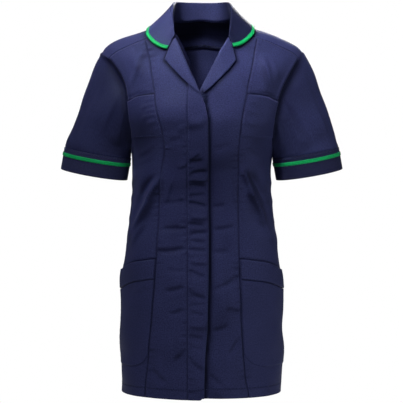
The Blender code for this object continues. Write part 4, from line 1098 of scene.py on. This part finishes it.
def back():
    tuck = TUCK_SHARE / 3.0
    columns = [(-tuck, TUCK), (0.0, TUCK)] + [(share, 0.0) for share in spaced(330.0)]
    columns = columns + [(1.0, TUCK), (1.0 + tuck, TUCK)]
    upper = spaced(120.0, False, True)[1:]
    rows = hem_rows(lower_levels()) + [(1.0 + part, 0.0) for part in upper]
    rows = rows + [(2.0 + up / BACK_SEAM_DEGREES, BACK_TUCK) for up in (0.0, 0.25, BACK_TUCK_DEGREES)]
    levels, shares, lift = grid_of(rows, columns)
    seam = back_seam_level(2.0 * shares - 1.0) - GAP_ANGLE
    raised = np.where(levels > 0.5, seam * (levels - 1.0), levels)
    level = np.where(levels > 0.5, 0.0, levels)
    edge = side_edge_angle(np.minimum(level, 0.0), True) - GAP_ANGLE
    inside = np.clip(shares, 0.0, 1.0)
    below_arm = smooth_step((UNDERARM_LEVEL - level) / 14.0)
    angles = 180.0 + lerp(edge, -edge, inside + (shares - inside) * below_arm)
    hemmed = hem_level(angles, raised)
    points, normals = torso(angles, hemmed, lift)
    edges = {"left": (0.9, 0.1, 1.0), "right": (0.9, 0.1, 2.0), "top": (0.4, 0.3, 3.0)}
    points, shade = sewn_edges(points, normals, edges, (2, 2, 0, 3))
    shade = np.maximum(shade, crease_shade(points, normals, skin(angles, hemmed), lift, 0.0))
    piece("back", points, middle_of(points, normals), shade=shade)


def neck_place(share):
    turn = np.radians(90.0 * np.minimum(share / SIDE_NECK_SHARE, 1.0))
    rest = np.maximum((share - SIDE_NECK_SHARE) / (1.0 - SIDE_NECK_SHARE), 0.0)
    x = SIDE_NECK_X * np.sin(turn) + (FRONT_NECK_X - SIDE_NECK_X) * rest
    level = SIDE_NECK_LEVEL + (NAPE_LEVEL - SIDE_NECK_LEVEL) * np.cos(turn)
    return x, level + (FRONT_SEAM_LEVEL - SIDE_NECK_LEVEL) * rest


def yoke():
    rings = spaced(120.0)[None, :]
    behind = spaced(185.0, False, False)
    ahead = spaced(150.0, False, True)[1:]
    neck_share = np.concatenate((YOKE_BACK_SHARE * behind, lerp(YOKE_BACK_SHARE, 1.0, ahead)))[:, None]
    turn = np.radians(armhole_angle(True) * behind)
    outer_behind = signed_power(np.sin(turn), 2.0 / SECTION_POWER) * HALF_AT_BUST / BACK_CHEST_HALF
    outer_share = np.concatenate((outer_behind, np.ones(len(ahead))))[:, None]
    last_back = 180.0 - float(back_seam_level(1.0))
    outer_level = np.concatenate((180.0 - back_seam_level(behind) + GAP_ANGLE,
                                  lerp(last_back, FRONT_SEAM_LEVEL + GAP_ANGLE, ahead)))[:, None]
    halves = []
    for side in (-1, 1):
        x, neck_level = neck_place(neck_share)
        share = lerp(half_width_share(x, neck_level, side), outer_share, rings)
        halves.append(over_shoulder(share, lerp(neck_level, outer_level, rings), side))
    points, normals = (np.concatenate((right[:0:-1], left)) for right, left in zip(*halves))
    edges = {"right": (0.4, 0.25, 5.0), "bottom": (1.0, 0.25, 6.0), "top": (1.0, 0.25, 8.0)}
    points, shade = sewn_edges(points, normals, edges)
    for side in (-1, 1):
        shade = np.maximum(shade, under_the_collar(points, side))
    both_ways = np.concatenate((neck_share[:0:-1], neck_share))
    near_neck = smooth_step((0.84 - rings) / 0.25)
    behind_neck = smooth_step((YOKE_BACK_SHARE + 0.05 - both_ways) / 0.1)
    shade = np.maximum(shade, INSIDE_NECK_SHADE * near_neck * behind_neck)
    piece("yoke", points, middle_of(points, normals), shade=shade)


# Sleeves

def armhole(side):
    """Armhole edge from the shoulder tip round the front, underarm and back, as if on the left."""
    bend = np.linspace(0.0, math.pi / 2.0, 30)
    front = np.concatenate((np.linspace(90.0, 0.0, 70)[:-1], UNDERARM_LEVEL * np.sin(bend)))
    rear = np.concatenate((UNDERARM_LEVEL * np.cos(bend)[1:], np.linspace(0.0, 90.0, 70)[1:]))
    level = np.concatenate((front, rear[:-1]))
    behind = np.arange(len(level)) >= len(front)
    angle = side_edge_angle(np.minimum(level, 0.0), behind)
    points, normals = torso(side * np.where(behind, 180.0 - angle, angle), level)
    return points * mirrored(side), normals * mirrored(side)


def sleeve_ring(side):
    """The armhole edge read evenly round the sleeve: 0 at the tip, 90 in front, 180 underarm."""
    points, normals = armhole(side)
    underarm = int(np.argmin(points[:, 2]))
    points, normals = np.vstack((points, points[:1])), np.vstack((normals, normals[:1]))
    travelled = arcs(points, 0)
    front, total = travelled[underarm], travelled[-1]
    degrees = np.where(travelled <= front, 180.0 * travelled / front,
                       180.0 + 180.0 * (travelled - front) / (total - front))
    wanted = np.linspace(0.0, 360.0, round(132 / DETAIL) // 2 * 2 + 1)
    ring, ring_normals = (np.stack([np.interp(wanted, degrees, grid[:, k]) for k in range(3)], axis=-1)
                          for grid in (points, normals))
    return wanted, ring, unit(ring_normals)


def cuff_ring(degrees, above_hem, proud=0.0):
    outward, forward, down = np.array(CUFF_OUTWARD), np.array(CUFF_FORWARD), np.array(CUFF_DOWN)
    a = np.radians(degrees)[:, None]
    rim = outward * np.cos(a) + forward * np.sin(a)
    away = unit(outward * np.cos(a) / outward[0] ** 2 + forward * np.sin(a) / forward[1] ** 2)
    return np.array(CUFF_CENTRE) + rim - down * above_hem + away * proud


def round_normals(points):
    ring = np.concatenate((points[:, -2:-1], points, points[:, 1:2]), axis=1)
    normals = unit(np.cross(ring[:, 2:] - ring[:, :-2], np.gradient(points, axis=0)))
    return -normals if normals[-1, 0, 0] < 0.0 else normals


def from_underarm(grid):
    """Start a closed grid at the underarm seam instead of the shoulder tip."""
    half = grid.shape[1] // 2
    return np.concatenate((grid[:, half:-1], grid[:, :half + 1]), axis=1)


def sleeve_surface(degrees, ring, normals, away):
    """The smooth sleeve from the armhole to the band, and its rows' shares of the length."""
    turn = np.where(degrees <= 180.0, degrees, 360.0 - degrees)
    part = smooth_step(turn / SLEEVE_LEAN_REACH)
    lean = np.radians(lerp(SLEEVE_LEAN_TIP, SLEEVE_LEAN_UNDERARM, part))[:, None]
    start = ring + (normals * np.sin(lean) + away * np.cos(lean) / 2.0) * SEAM_GAP
    leave = away * np.cos(lean) + normals * np.sin(lean)
    end = cuff_ring(degrees, CUFF_DEPTH + SEAM_GAP)
    span = np.linalg.norm(end - start, axis=1, keepdims=True)
    arrive = unit(np.array(SLEEVE_END_DIRECTION)) * span
    t = spaced(190.0)[:, None, None]
    points = start * (2 * t**3 - 3 * t**2 + 1) + leave * span * SLEEVE_CAP_SPRING * (t**3 - 2 * t**2 + t)
    return points + end * (3 * t**2 - 2 * t**3) + arrive * (t**3 - t**2), t[:, :, 0]


def sleeve_height(points, degrees, t, side, folds, creases):
    """Height of the sleeve's folds, creases and unevenness."""
    height = np.zeros(points.shape[:2])
    for degree, first, last, width, tall in folds:
        taper = smooth_step((t - first) / SLEEVE_FOLD_TAPER) * smooth_step((last - t) / SLEEVE_FOLD_TAPER)
        height += tall * taper * bell(half_turn(degrees - degree)[None, :], width)
    for degree1, share1, degree2, share2, width, tall in creases:
        part = (t - share1) / (share2 - share1)
        apart = half_turn(degrees[None, :] - lerp(degree1, degree2, part))
        height += tall * fade_ends(part, *SLEEVE_CREASE_FADE) * bell(apart, width) * smooth_step(t / 0.06)
    for rx, ry, rz, length, tall, shift in RIPPLES:
        wave = np.sin(2 * math.pi * (points @ np.array((rx, ry, rz))) / length + shift + side)
        height += tall * wave * smooth_step(t / 0.08) * smooth_step((1.0 - t) / 0.08)
    return height


# dull is painted shade laid evenly over the whole sleeve, more on the right sleeve
def sleeve(name, side, folds, creases, dull, seed):
    degrees, ring, normals = sleeve_ring(side)
    tangent = np.roll(ring[:-1], -1, axis=0) - np.roll(ring[:-1], 1, axis=0)
    away = unit(np.cross(normals, unit(np.vstack((tangent, tangent[:1])))))
    points, t = sleeve_surface(degrees, ring, normals, away)
    outward = round_normals(points)
    height = sleeve_height(points, degrees, t, side, folds, creases)
    points = points + outward * height[..., None]
    in_front = smooth_step((degrees - 8.0) / 30.0) * smooth_step((165.0 - degrees) / 40.0)
    behind = smooth_step((degrees - 195.0) / 40.0) * smooth_step((352.0 - degrees) / 30.0)
    valley = SLEEVE_VALLEY * (in_front + SLEEVE_VALLEY_BEHIND * behind)[None, :]
    down = arcs(points, 0) / SLEEVE_VALLEY_AT
    sunk = valley * down * np.exp(1.0 - down)
    points = points - outward * sunk[..., None]
    points = points - outward * (SLEEVE_SEAM_DIP * bell(degrees - 180.0, 1.6))[None, :, None]
    under = ring - normals * SLEEVE_TUCK_DEPTH
    in_cuff = [cuff_ring(degrees, CUFF_DEPTH + up, -0.1) for up in (SEAM_GAP, -SLEEVE_TUCK)]
    points = np.concatenate(((under - away * SLEEVE_TUCK)[None], under[None], points, np.array(in_cuff)))
    outward = np.concatenate((normals[None], normals[None], outward, outward[-1:], outward[-1:]))
    points, shade = sewn_edges(
        points, outward, {"bottom": (0.8, 0.35, seed), "top": (0.8, 0.25, seed + 1.0)}, (0, 0, 2, 2))
    from_seam = arcs(points, 0) - arcs(points, 0)[2:3]
    near = bell(from_seam, SLEEVE_SHADE_NEAR) + 0.6 * bell(from_seam, SLEEVE_SHADE_FAR)
    tucked = np.zeros((2, len(degrees)))
    rise = np.concatenate((tucked, height - sunk, tucked))
    painted_crease_shade = (np.maximum(-steepness(rise, points, 0) - LEAST_SLOPE, 0.0)
               + np.maximum(side * steepness(rise, points, 1) - LEAST_SLOPE, 0.0))
    painted_crease_shade = np.minimum(painted_crease_shade, SLEEVE_CREASE_SHADE_MOST) * (from_seam > 1.0)
    # Painted shade on the sleeve: beside the front of the armhole, evenly all over, and on the creases'
    # slopes
    dark = SLEEVE_SHADE * near * in_front[None, :] + dull + painted_crease_shade
    shade = np.maximum(shade, np.minimum(dark, SLEEVE_SHADE_MOST))
    points, outward = from_underarm(points) * mirrored(side), from_underarm(outward) * mirrored(side)
    shade = from_underarm(shade)
    piece(name, points, middle_of(points, outward), closed=True, shade=shade)


def round_piece(name, profile, side, finish, thickness=CLOTH, shade=0.0):
    """A band round the sleeve's end: its profile is (height above the edge, how far it stands out)."""
    degrees = np.linspace(0.0, 360.0, round(120 / DETAIL) // 2 * 2 + 1)
    points = from_underarm(np.array([cuff_ring(degrees, height, proud) for height, proud in profile]))
    outward = unit(points - points.mean(axis=1, keepdims=True)) * mirrored(side)
    points = points * mirrored(side)
    row = len(profile) * 2 // 3
    piece(name, points, (row, 5, tuple(outward[row, 5])), finish, thickness,
          closed=True, shade=np.full(points.shape[:2], shade))


def sleeve_band(side_name, side):
    inside = [(height, CUFF_PROUD - 1.9) for height in (CUFF_DEPTH - 1.0, 30.0, 18.0, 8.0, 2.5, 0.8)]
    fold = [(0.15, CUFF_PROUD - 1.5), (0.0, CUFF_PROUD - 1.0), (0.1, CUFF_PROUD - 0.35)]
    outside = [(height, CUFF_PROUD) for height in (0.7, 2, 6, 12, 18, 24, 30, 36, 40, 42)]
    top = [(CUFF_DEPTH - 0.3, CUFF_PROUD - 0.12), (CUFF_DEPTH, CUFF_PROUD - 0.45)]
    round_piece("cuff_" + side_name, inside + fold + outside + top, side,
                "navy_band", shade=CUFF_LEFT_SHADE if side > 0 else 0.0)
    low, base = CUFF_BRAID_TOP - BRAID_WIDTH, CUFF_PROUD + 0.45
    rounded = ((0.0, 0.0), (0.25, 0.5), (0.8, 0.8), (2.2, 0.85), (3.5, 0.7), (4.8, 0.85), (6.2, 0.8),
               (6.75, 0.5), (BRAID_WIDTH, 0.0))
    round_piece("cuff_braid_" + side_name, [(low + up, base + out) for up, out in rounded], side,
                "green_braid", CUFF_BRAID_CLOTH)


# Collar and lapels

def neck_points(share, side):
    """Points and normals on the neck seam for shares of the collar's half length."""
    x, level = neck_place(np.minimum(share / COLLAR_NECK_REACH, 1.0))
    points, normals = over_shoulder(half_width_share(x, level, side), level, side)
    z = lerp(*COLLAR_NECK_END, np.maximum((share - COLLAR_NECK_REACH) / (1.0 - COLLAR_NECK_REACH), 0.0))
    level, angle = level_and_angle(straight(RIGHT_FRONT_EDGE, "x", z), z, side)
    front, front_normals = torso(side * angle, level)
    past = (share > COLLAR_NECK_REACH)[:, None]
    return np.where(past, front, points), np.where(past, front_normals, normals)


def collar_grid(side, shares):
    """Middle of the collar's cloth from the neck seam over the roll to the outer edge, for one half."""
    neck, normal = neck_points(shares, side)
    neck = neck + normal * COLLAR_SEAT
    roll = np.stack([curve(COLLAR, column, shares) for column in ("roll_x", "roll_y", "roll_z")], axis=-1)
    roll = roll * mirrored(side)
    edge_x = curve(COLLAR, "left_edge_x" if side > 0 else "right_edge_x", shares)
    edge_level = curve(COLLAR, "edge_level", shares)
    part = half_width_share(edge_x, edge_level, side)
    edge, edge_normal = over_shoulder(part, edge_level, side, curve(COLLAR, "edge_lift", shares))
    inward = unit(neck - roll)
    fall = unit(edge - roll)
    outward = unit(fall - inward * np.sum(fall * inward, axis=-1, keepdims=True))
    radius = np.minimum(ROLL_RADIUS, 0.45 * np.linalg.norm(roll - neck, axis=-1, keepdims=True))
    under = roll + inward * radius
    line = [lerp(neck, under, t) for t in spaced(26.0, False, False, 4.0)]
    for turn in np.radians((15.0, 35.0, 55.0, 75.0, 95.0, 113.0, 130.0)):
        line.append(under + (outward * (1.0 - math.cos(turn)) - inward * math.sin(turn)) * radius)
    over = line[-1]
    for t in spaced(60.0, False, True, 4.0)[1:]:
        line.append(lerp(over, edge, t) + edge_normal * FALL_BULGE * math.sin(math.pi * t))
    return np.stack(line, axis=1)


def collar():
    shares = spaced(210.0, False, True, 3.6)
    middle = np.concatenate((collar_grid(-1, shares)[:0:-1], collar_grid(1, shares)))
    normals = unit(np.cross(np.gradient(middle, axis=1), np.gradient(middle, axis=0)))
    if normals[len(shares) - 1, -1, 1] < 0.0:
        normals = -normals
    half = COLLAR_THICKNESS / 2.0
    wave = crease_height(middle, normals) * 0.5
    face = middle + normals * (half + np.clip(wave, -0.5, 0.5) * 0.6)[..., None]
    across, along = arcs(face, 1), arcs(face, 0)
    from_end = np.minimum(along, along[-1:] - along)
    rounded = (COLLAR_EDGE_ROUND * bell(across[:, -1:] - across, COLLAR_ROUND_WIDTH)
               + COLLAR_END_ROUND * bell(from_end, COLLAR_ROUND_WIDTH))
    face = face - normals * rounded[..., None]
    shade = COLLAR_LEFT_SHADE * smooth_step((face[..., 0] - 20.0) / 40.0)
    piece("collar", face, middle_of(face, normals, 0.5, 0.8),
          thickness=COLLAR_THICKNESS - CLOTH, shade=shade)
    collar_braid(middle, normals, half)


def collar_braid(middle, normals, half):
    """The braid over the collar's outer edge, from its profile: back from the edge, out of the middle."""
    edge, normal = middle[:, -1], normals[:, -1]
    inward = unit(middle[:, -6] - edge)
    over = ((BRAID_WIDTH, 0.05), (BRAID_WIDTH - 0.2, 0.55), (BRAID_WIDTH - 0.8, 0.85), (5.0, 0.95),
            (3.6, 0.8), (2.2, 0.95), (0.9, 0.85), (0.0, 0.45))
    under = ((0.0, 0.15), (0.8, 0.35), (2.0, 0.3))
    profile = [(back_in, half + out) for back_in, out in over] + [(-0.45, 0.35), (-0.45, -0.4)]
    profile = profile + [(back_in, -half - out) for back_in, out in under]
    strip = np.stack([edge + inward * back_in + normal * out for back_in, out in profile], axis=1)
    up = np.stack([normal for _ in profile], axis=1)
    piece("collar_braid", strip, middle_of(strip, up, 0.5, 0.3), "green_braid",
          COLLAR_BRAID_CLOTH)


def lapel(name, side, shape, seed):
    t = spaced(120.0)[:, None]
    ends = {column: straight(shape, column, t) for column in shape}
    columns = [(0.0, -0.9), (-0.012, -0.5), (-0.02, 0.2), (-0.014, 1.1)]
    for share in spaced(34.0, False, False, 2.6)[:-1]:
        spring = LAPEL_CLEARANCE + LAPEL_SPRING * math.sin(math.pi * share) + LAPEL_THICKNESS
        columns.append((share, (spring + LAPEL_EDGE_LIFT * share**3) * (1.0 if share > 0.0 else 0.85)))
    for share, drop in ((0.99, 0.0), (1.0, 0.75), (0.99, 1.6), (0.94, 1.85), (0.85, 1.9)):
        columns.append((share, LAPEL_CLEARANCE + LAPEL_THICKNESS + LAPEL_EDGE_LIFT - drop))
    share, lift = np.array(columns).T[:, None, :]
    x = lerp(ends["roll_x"], ends["edge_x"], share)
    z = lerp(ends["roll_z"], ends["edge_z"], share)
    level, angle = level_and_angle(x, z, side)
    wave = LAPEL_WAVE * np.sin(t * 9.0 + seed) * np.sin(math.pi * np.clip(share, 0.0, 1.0))
    points, normals = torso(side * angle, level, lift + wave, side)
    piece(name, points, middle_of(points, normals, 0.4, 0.45))


# Pockets

def pocket_points(side, princess, share, z, lift):
    """Points on a side front: a share of the way from the princess seam to its outer edge, at z."""
    x = curve(princess, "x", z)
    level, first = level_and_angle(x, z, side)
    last = side_edge_angle(np.minimum(level, 0.0), False)
    own = level
    for _ in range(10):
        above = lerp(seam_angle(princess, own, side), last, share)
        across = np.maximum(np.sin(np.radians(above)), 0.0) ** (2.0 / SECTION_POWER)
        own = arch_level(HALF_AT_BUST * across / FRONT_CHEST_HALF, z)
    low = z <= BUST_Z
    angle = np.where(low, lerp(first, last, share), above)
    return torso(side * angle, np.where(low, level, own), lift, side)


def pocket_edge(shape, column):
    return lambda share: curve(shape, column, share)


def pocket(name, side, princess, top, bottom, depth, spring, thickness, turn, edges):
    """A patch on the side front: its top edge turned in when it has a turn, and the listed edges sewn down.
    """
    share = lerp(*POCKET_ENDS, spaced(98.0))[None, :]
    up = spaced(depth, True, False)[:, None]
    lift = POCKET_CLEARANCE + spring(up) + thickness
    rows = [lerp(bottom(share), top(share), up)]
    lifts = [lift + 0.0 * share]
    if turn:
        high = float(lift[-1, 0])
        for down, drop in ((0.1, 0.25), (0.0, 0.7), (0.15, 1.05), (2.0, 1.2), (8.0, 1.2), (turn, 1.2)):
            rows.append(top(share) - down)
            lifts.append(np.full(share.shape, max(high - drop, 0.35)))
    z, lift = np.vstack(rows), np.vstack(lifts)
    points, normals = pocket_points(side, princess, share + 0.0 * z, z, lift)
    points, shade = sewn_edges(points, normals, edges, (0, 0, 0, 6 if turn else 0))
    # Painted shade: a dark line on the turned-in top rows, and the broad shade patches elsewhere
    shade = np.where(shade == 1.0, POCKET_TOP_SHADE, np.maximum(shade, painted_shade_patches(points)))
    piece(name, points, middle_of(points, normals, 0.4), shade=shade)


def pockets(side_name, side, princess, seed):
    pocket("chest_pocket_" + side_name, side, princess, pocket_edge(CHEST_POCKET, "top"),
           pocket_edge(CHEST_POCKET, "bottom"), CHEST_POCKET_DEPTH, lambda up: CHEST_POCKET_SPRING * up**3,
           POCKET_LAYER, CHEST_POCKET_TURN,
           {"left": (0.5, 0.6, seed), "right": (0.3, 0.3, seed + 1), "bottom": (0.3, 0.2, seed + 2)})
    top = pocket_edge(HIP_POCKET, "top")
    pocket("hip_pocket_" + side_name, side, princess, lambda share: top(share) - HIP_BAND_DEPTH - SEAM_GAP,
           pocket_edge(HIP_POCKET, "bottom"), HIP_POCKET_DEPTH,
           lambda up: BAND_SPRING * BAND_SPRING_BELOW * up**2, POCKET_LAYER, 0.0,
           {"left": (0.5, 0.35, seed + 3), "right": (0.5, 0.25, seed + 4), "bottom": (0.6, 0.2, seed + 5),
            "top": (1.0, 0.25, seed + 6)})
    pocket("hip_pocket_band_" + side_name, side, princess, top, lambda share: top(share) - HIP_BAND_DEPTH,
           HIP_BAND_DEPTH, lambda up: BAND_SPRING * lerp(BAND_SPRING_BELOW, 1.0, up),
           HIP_BAND_LAYER, HIP_BAND_TURN,
           {"left": (0.5, 0.3, seed + 7), "right": (0.5, 0.2, seed + 8), "bottom": (1.0, 0.15, seed + 9)})


# Sewing

def read_at(wanted, travelled, grid):
    return np.stack([np.interp(wanted, travelled, grid[:, k]) for k in range(3)], axis=-1)


def stitch_row(bm, points, normals):
    """Stitches of thread in a row over a path of points."""
    travelled = arcs(points, 0)
    centres = (np.arange(int(travelled[-1] // STITCH_PITCH)) + 0.5) * STITCH_PITCH
    middle = read_at(centres, travelled, points)
    ahead = unit(read_at(centres + 0.4, travelled, points) - read_at(centres - 0.4, travelled, points))
    side = unit(np.cross(unit(read_at(centres, travelled, normals)), ahead))
    up = np.cross(ahead, side)
    half = np.array((STITCH_LENGTH / 2.0, THREAD_RADIUS * 1.15, THREAD_RADIUS)) * MM
    for k in range(len(centres)):
        turn = Matrix((ahead[k], side[k], up[k])).transposed().to_4x4()
        place = Matrix.Translation(Vector(middle[k] * MM)) @ turn @ Matrix.Diagonal((*half, 1.0))
        bmesh.ops.create_icosphere(bm, subdivisions=1, radius=1.0, matrix=place)


def sewing(name, paths):
    """One piece that holds the thread of several rows."""
    whole = bmesh.new()
    part = bpy.data.meshes.new(name + "_row")
    for points, normals in paths:
        bm = bmesh.new()
        stitch_row(bm, points, normals)
        bm.to_mesh(part)
        bm.free()
        whole.from_mesh(part)
    bpy.data.meshes.remove(part)
    layer = whole.loops.layers.uv.new("cloth")
    for face in whole.faces:
        for corner in face.loops:
            corner[layer].uv = (corner.vert.co.x + corner.vert.co.y, corner.vert.co.z)
    mesh = bpy.data.meshes.new(name)
    whole.to_mesh(mesh)
    whole.free()
    mesh.shade_smooth()
    made = add_object(name, mesh, THREAD)
    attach(made, "root")


def torso_path(angle, level, lift):
    angle, level = same_shape(angle, level)
    return torso(angle, hem_level(angle, level), lift)


def hem_stitches():
    start = -float(fly_stitch_angle(HEM_STITCH_LEVEL))
    return [torso_path(np.linspace(start, end, count), HEM_STITCH_LEVEL, THREAD_PROUD)
            for end, count in ((-359.0, 480), (0.4, 30))]


def fly_stitches():
    levels = np.linspace(HEM_LEVEL + 1.5, 40.0, 400)
    levels = levels[fly_stitch_angle(levels) - seam_angle(RIGHT_FRONT_EDGE, levels, -1) > 1.9]
    return [torso_path(-fly_stitch_angle(levels) + 0.9, levels, THREAD_PROUD)]


def pocket_stitches():
    """Rows across the turned tops, down the princess side and along the foot of each pocket."""
    across, down = np.linspace(0.03, 0.97, 90), np.full(70, 0.035)
    foot = np.linspace(0.04, 0.965, 90)
    rows = []
    for side, princess in ((-1, PRINCESS_RIGHT), (1, PRINCESS_LEFT)):
        for shape, drop, lift in POCKET_ROWS:
            rows.append(pocket_points(side, princess, across, curve(shape, "top", across) - drop, lift))
        for shape, start in ((CHEST_POCKET, 0.0), (HIP_POCKET, HIP_BAND_DEPTH + 2.0)):
            top, bottom = curve(shape, "top", down), curve(shape, "bottom", down)
            z = lerp(top - start - 1.0, bottom + 2.0, np.linspace(0.0, 1.0, 70))
            rows.append(pocket_points(side, princess, down, z, POCKET_THREAD_LIFT))
            z = curve(shape, "bottom", foot) + 2.0
            rows.append(pocket_points(side, princess, foot, z, POCKET_THREAD_LIFT))
    return rows


def yoke_stitches():
    share, part = np.linspace(-0.985, 0.985, 260), np.linspace(0.28, 0.985, 90)
    behind = 180.0 - armhole_angle(True) * share
    rows = [torso_path(behind, back_seam_level(share) + 1.9, YOKE_THREAD_PROUD)]
    for side in (-1, 1):
        ahead = side * armhole_angle(False) * part
        rows.append(torso_path(ahead, FRONT_SEAM_LEVEL + 1.7, YOKE_THREAD_PROUD))
    return rows


def cuff_stitches():
    ring = cuff_ring(np.linspace(0.0, 360.0, 200), CUFF_DEPTH - 2.4, CUFF_PROUD + THREAD_PROUD)
    outward = unit(ring - ring.mean(axis=0))
    return [(ring * mirrored(side), outward * mirrored(side)) for side in (-1, 1)]


front_centre("front_centre_right", -1, RIGHT_FRONT_EDGE, PRINCESS_RIGHT, 11.0)
front_centre("front_centre_left", 1, LEFT_FRONT_EDGE, PRINCESS_LEFT, 14.0)
front_placket()
front_side("front_side_right", -1, PRINCESS_RIGHT, 17.0)
front_side("front_side_left", 1, PRINCESS_LEFT, 21.0)
back()
yoke()
sleeve("sleeve_right", -1.0, SLEEVE_FOLDS_RIGHT, SLEEVE_CREASES_RIGHT, 0.36, 31.0)
sleeve("sleeve_left", 1.0, SLEEVE_FOLDS_LEFT, SLEEVE_CREASES_LEFT, 0.18, 33.0)
sleeve_band("right", -1.0)
sleeve_band("left", 1.0)
collar()
lapel("lapel_right", -1, LAPEL_RIGHT, 0.4)
lapel("lapel_left", 1, LAPEL_LEFT, 1.7)
pockets("right", -1, PRINCESS_RIGHT, 40.0)
pockets("left", 1, PRINCESS_LEFT, 55.0)
sewing("hem_stitches", hem_stitches())
sewing("fly_stitches", fly_stitches())
sewing("pocket_stitches", pocket_stitches())
sewing("yoke_stitches", yoke_stitches())
sewing("cuff_stitches", cuff_stitches())


# Studio

def light_and_seen(tree, kind, light, surface):
    """Plain white to the camera, and the given shader to every other ray."""
    seen = new_node(tree, kind)
    fill(seen, {"Color": WHITE, "Strength": 1.0})
    path, mix = new_node(tree, "ShaderNodeLightPath"), new_node(tree, "ShaderNodeMixShader")
    for number, source in enumerate((path.outputs["Is Camera Ray"], light.outputs[0], seen.outputs[0])):
        tree.links.new(source, mix.inputs[number])
    tree.links.new(mix.outputs[0], surface)


def pale_floor():
    bm = bmesh.new()
    bmesh.ops.create_circle(bm, cap_ends=True, segments=96, radius=FLOOR_RADIUS,
                            matrix=Matrix.Translation((0.0, 0.0, FLOOR_Z)))
    mesh = bpy.data.meshes.new("floor")
    bm.to_mesh(mesh)
    bm.free()
    pale = bpy.data.materials.new("pale_floor")
    pale.use_nodes = True
    tree = pale.node_tree
    shader = tree.nodes["Principled BSDF"]
    fill(shader, {"Base Color": (0.8, 0.8, 0.8, 1.0), "Roughness": 0.9})
    light_and_seen(tree, "ShaderNodeEmission", shader, tree.nodes["Material Output"].inputs["Surface"])
    add_object("floor", mesh, pale)


def pale_world():
    world = bpy.data.worlds.new("studio")
    bpy.context.scene.world = world
    world.use_nodes = True
    tree = world.node_tree
    tree.nodes.clear()
    out = new_node(tree, "ShaderNodeOutputWorld")
    lit = new_node(tree, "ShaderNodeBackground")
    fill(lit, {"Color": WHITE, "Strength": WORLD_LIGHT})
    light_and_seen(tree, "ShaderNodeBackground", lit, out.inputs["Surface"])


def lamps():
    for name, place, aim, size, spread, power in LAMPS:
        lamp = bpy.data.lights.new(name, "AREA")
        lamp.energy = power
        lamp.shape = "DISK"
        lamp.size = size
        lamp.spread = math.radians(spread)
        made = add_object(name, lamp)
        made.location = place
        made.rotation_euler = (Vector(aim) - Vector(place)).to_track_quat("-Z", "Y").to_euler()


def camera():
    lens = bpy.data.cameras.new("camera")
    lens.sensor_width = 36.0
    lens.lens = CAMERA_LENS
    lens.shift_x, lens.shift_y = CAMERA_SHIFT
    made = add_object("camera", lens)
    made.location = CAMERA_PLACE
    made.rotation_euler = (math.radians(90.0), 0.0, 0.0)
    bpy.context.scene.camera = made


pale_floor()
pale_world()
lamps()
camera()
bpy.context.scene.view_settings.view_transform = "Standard"
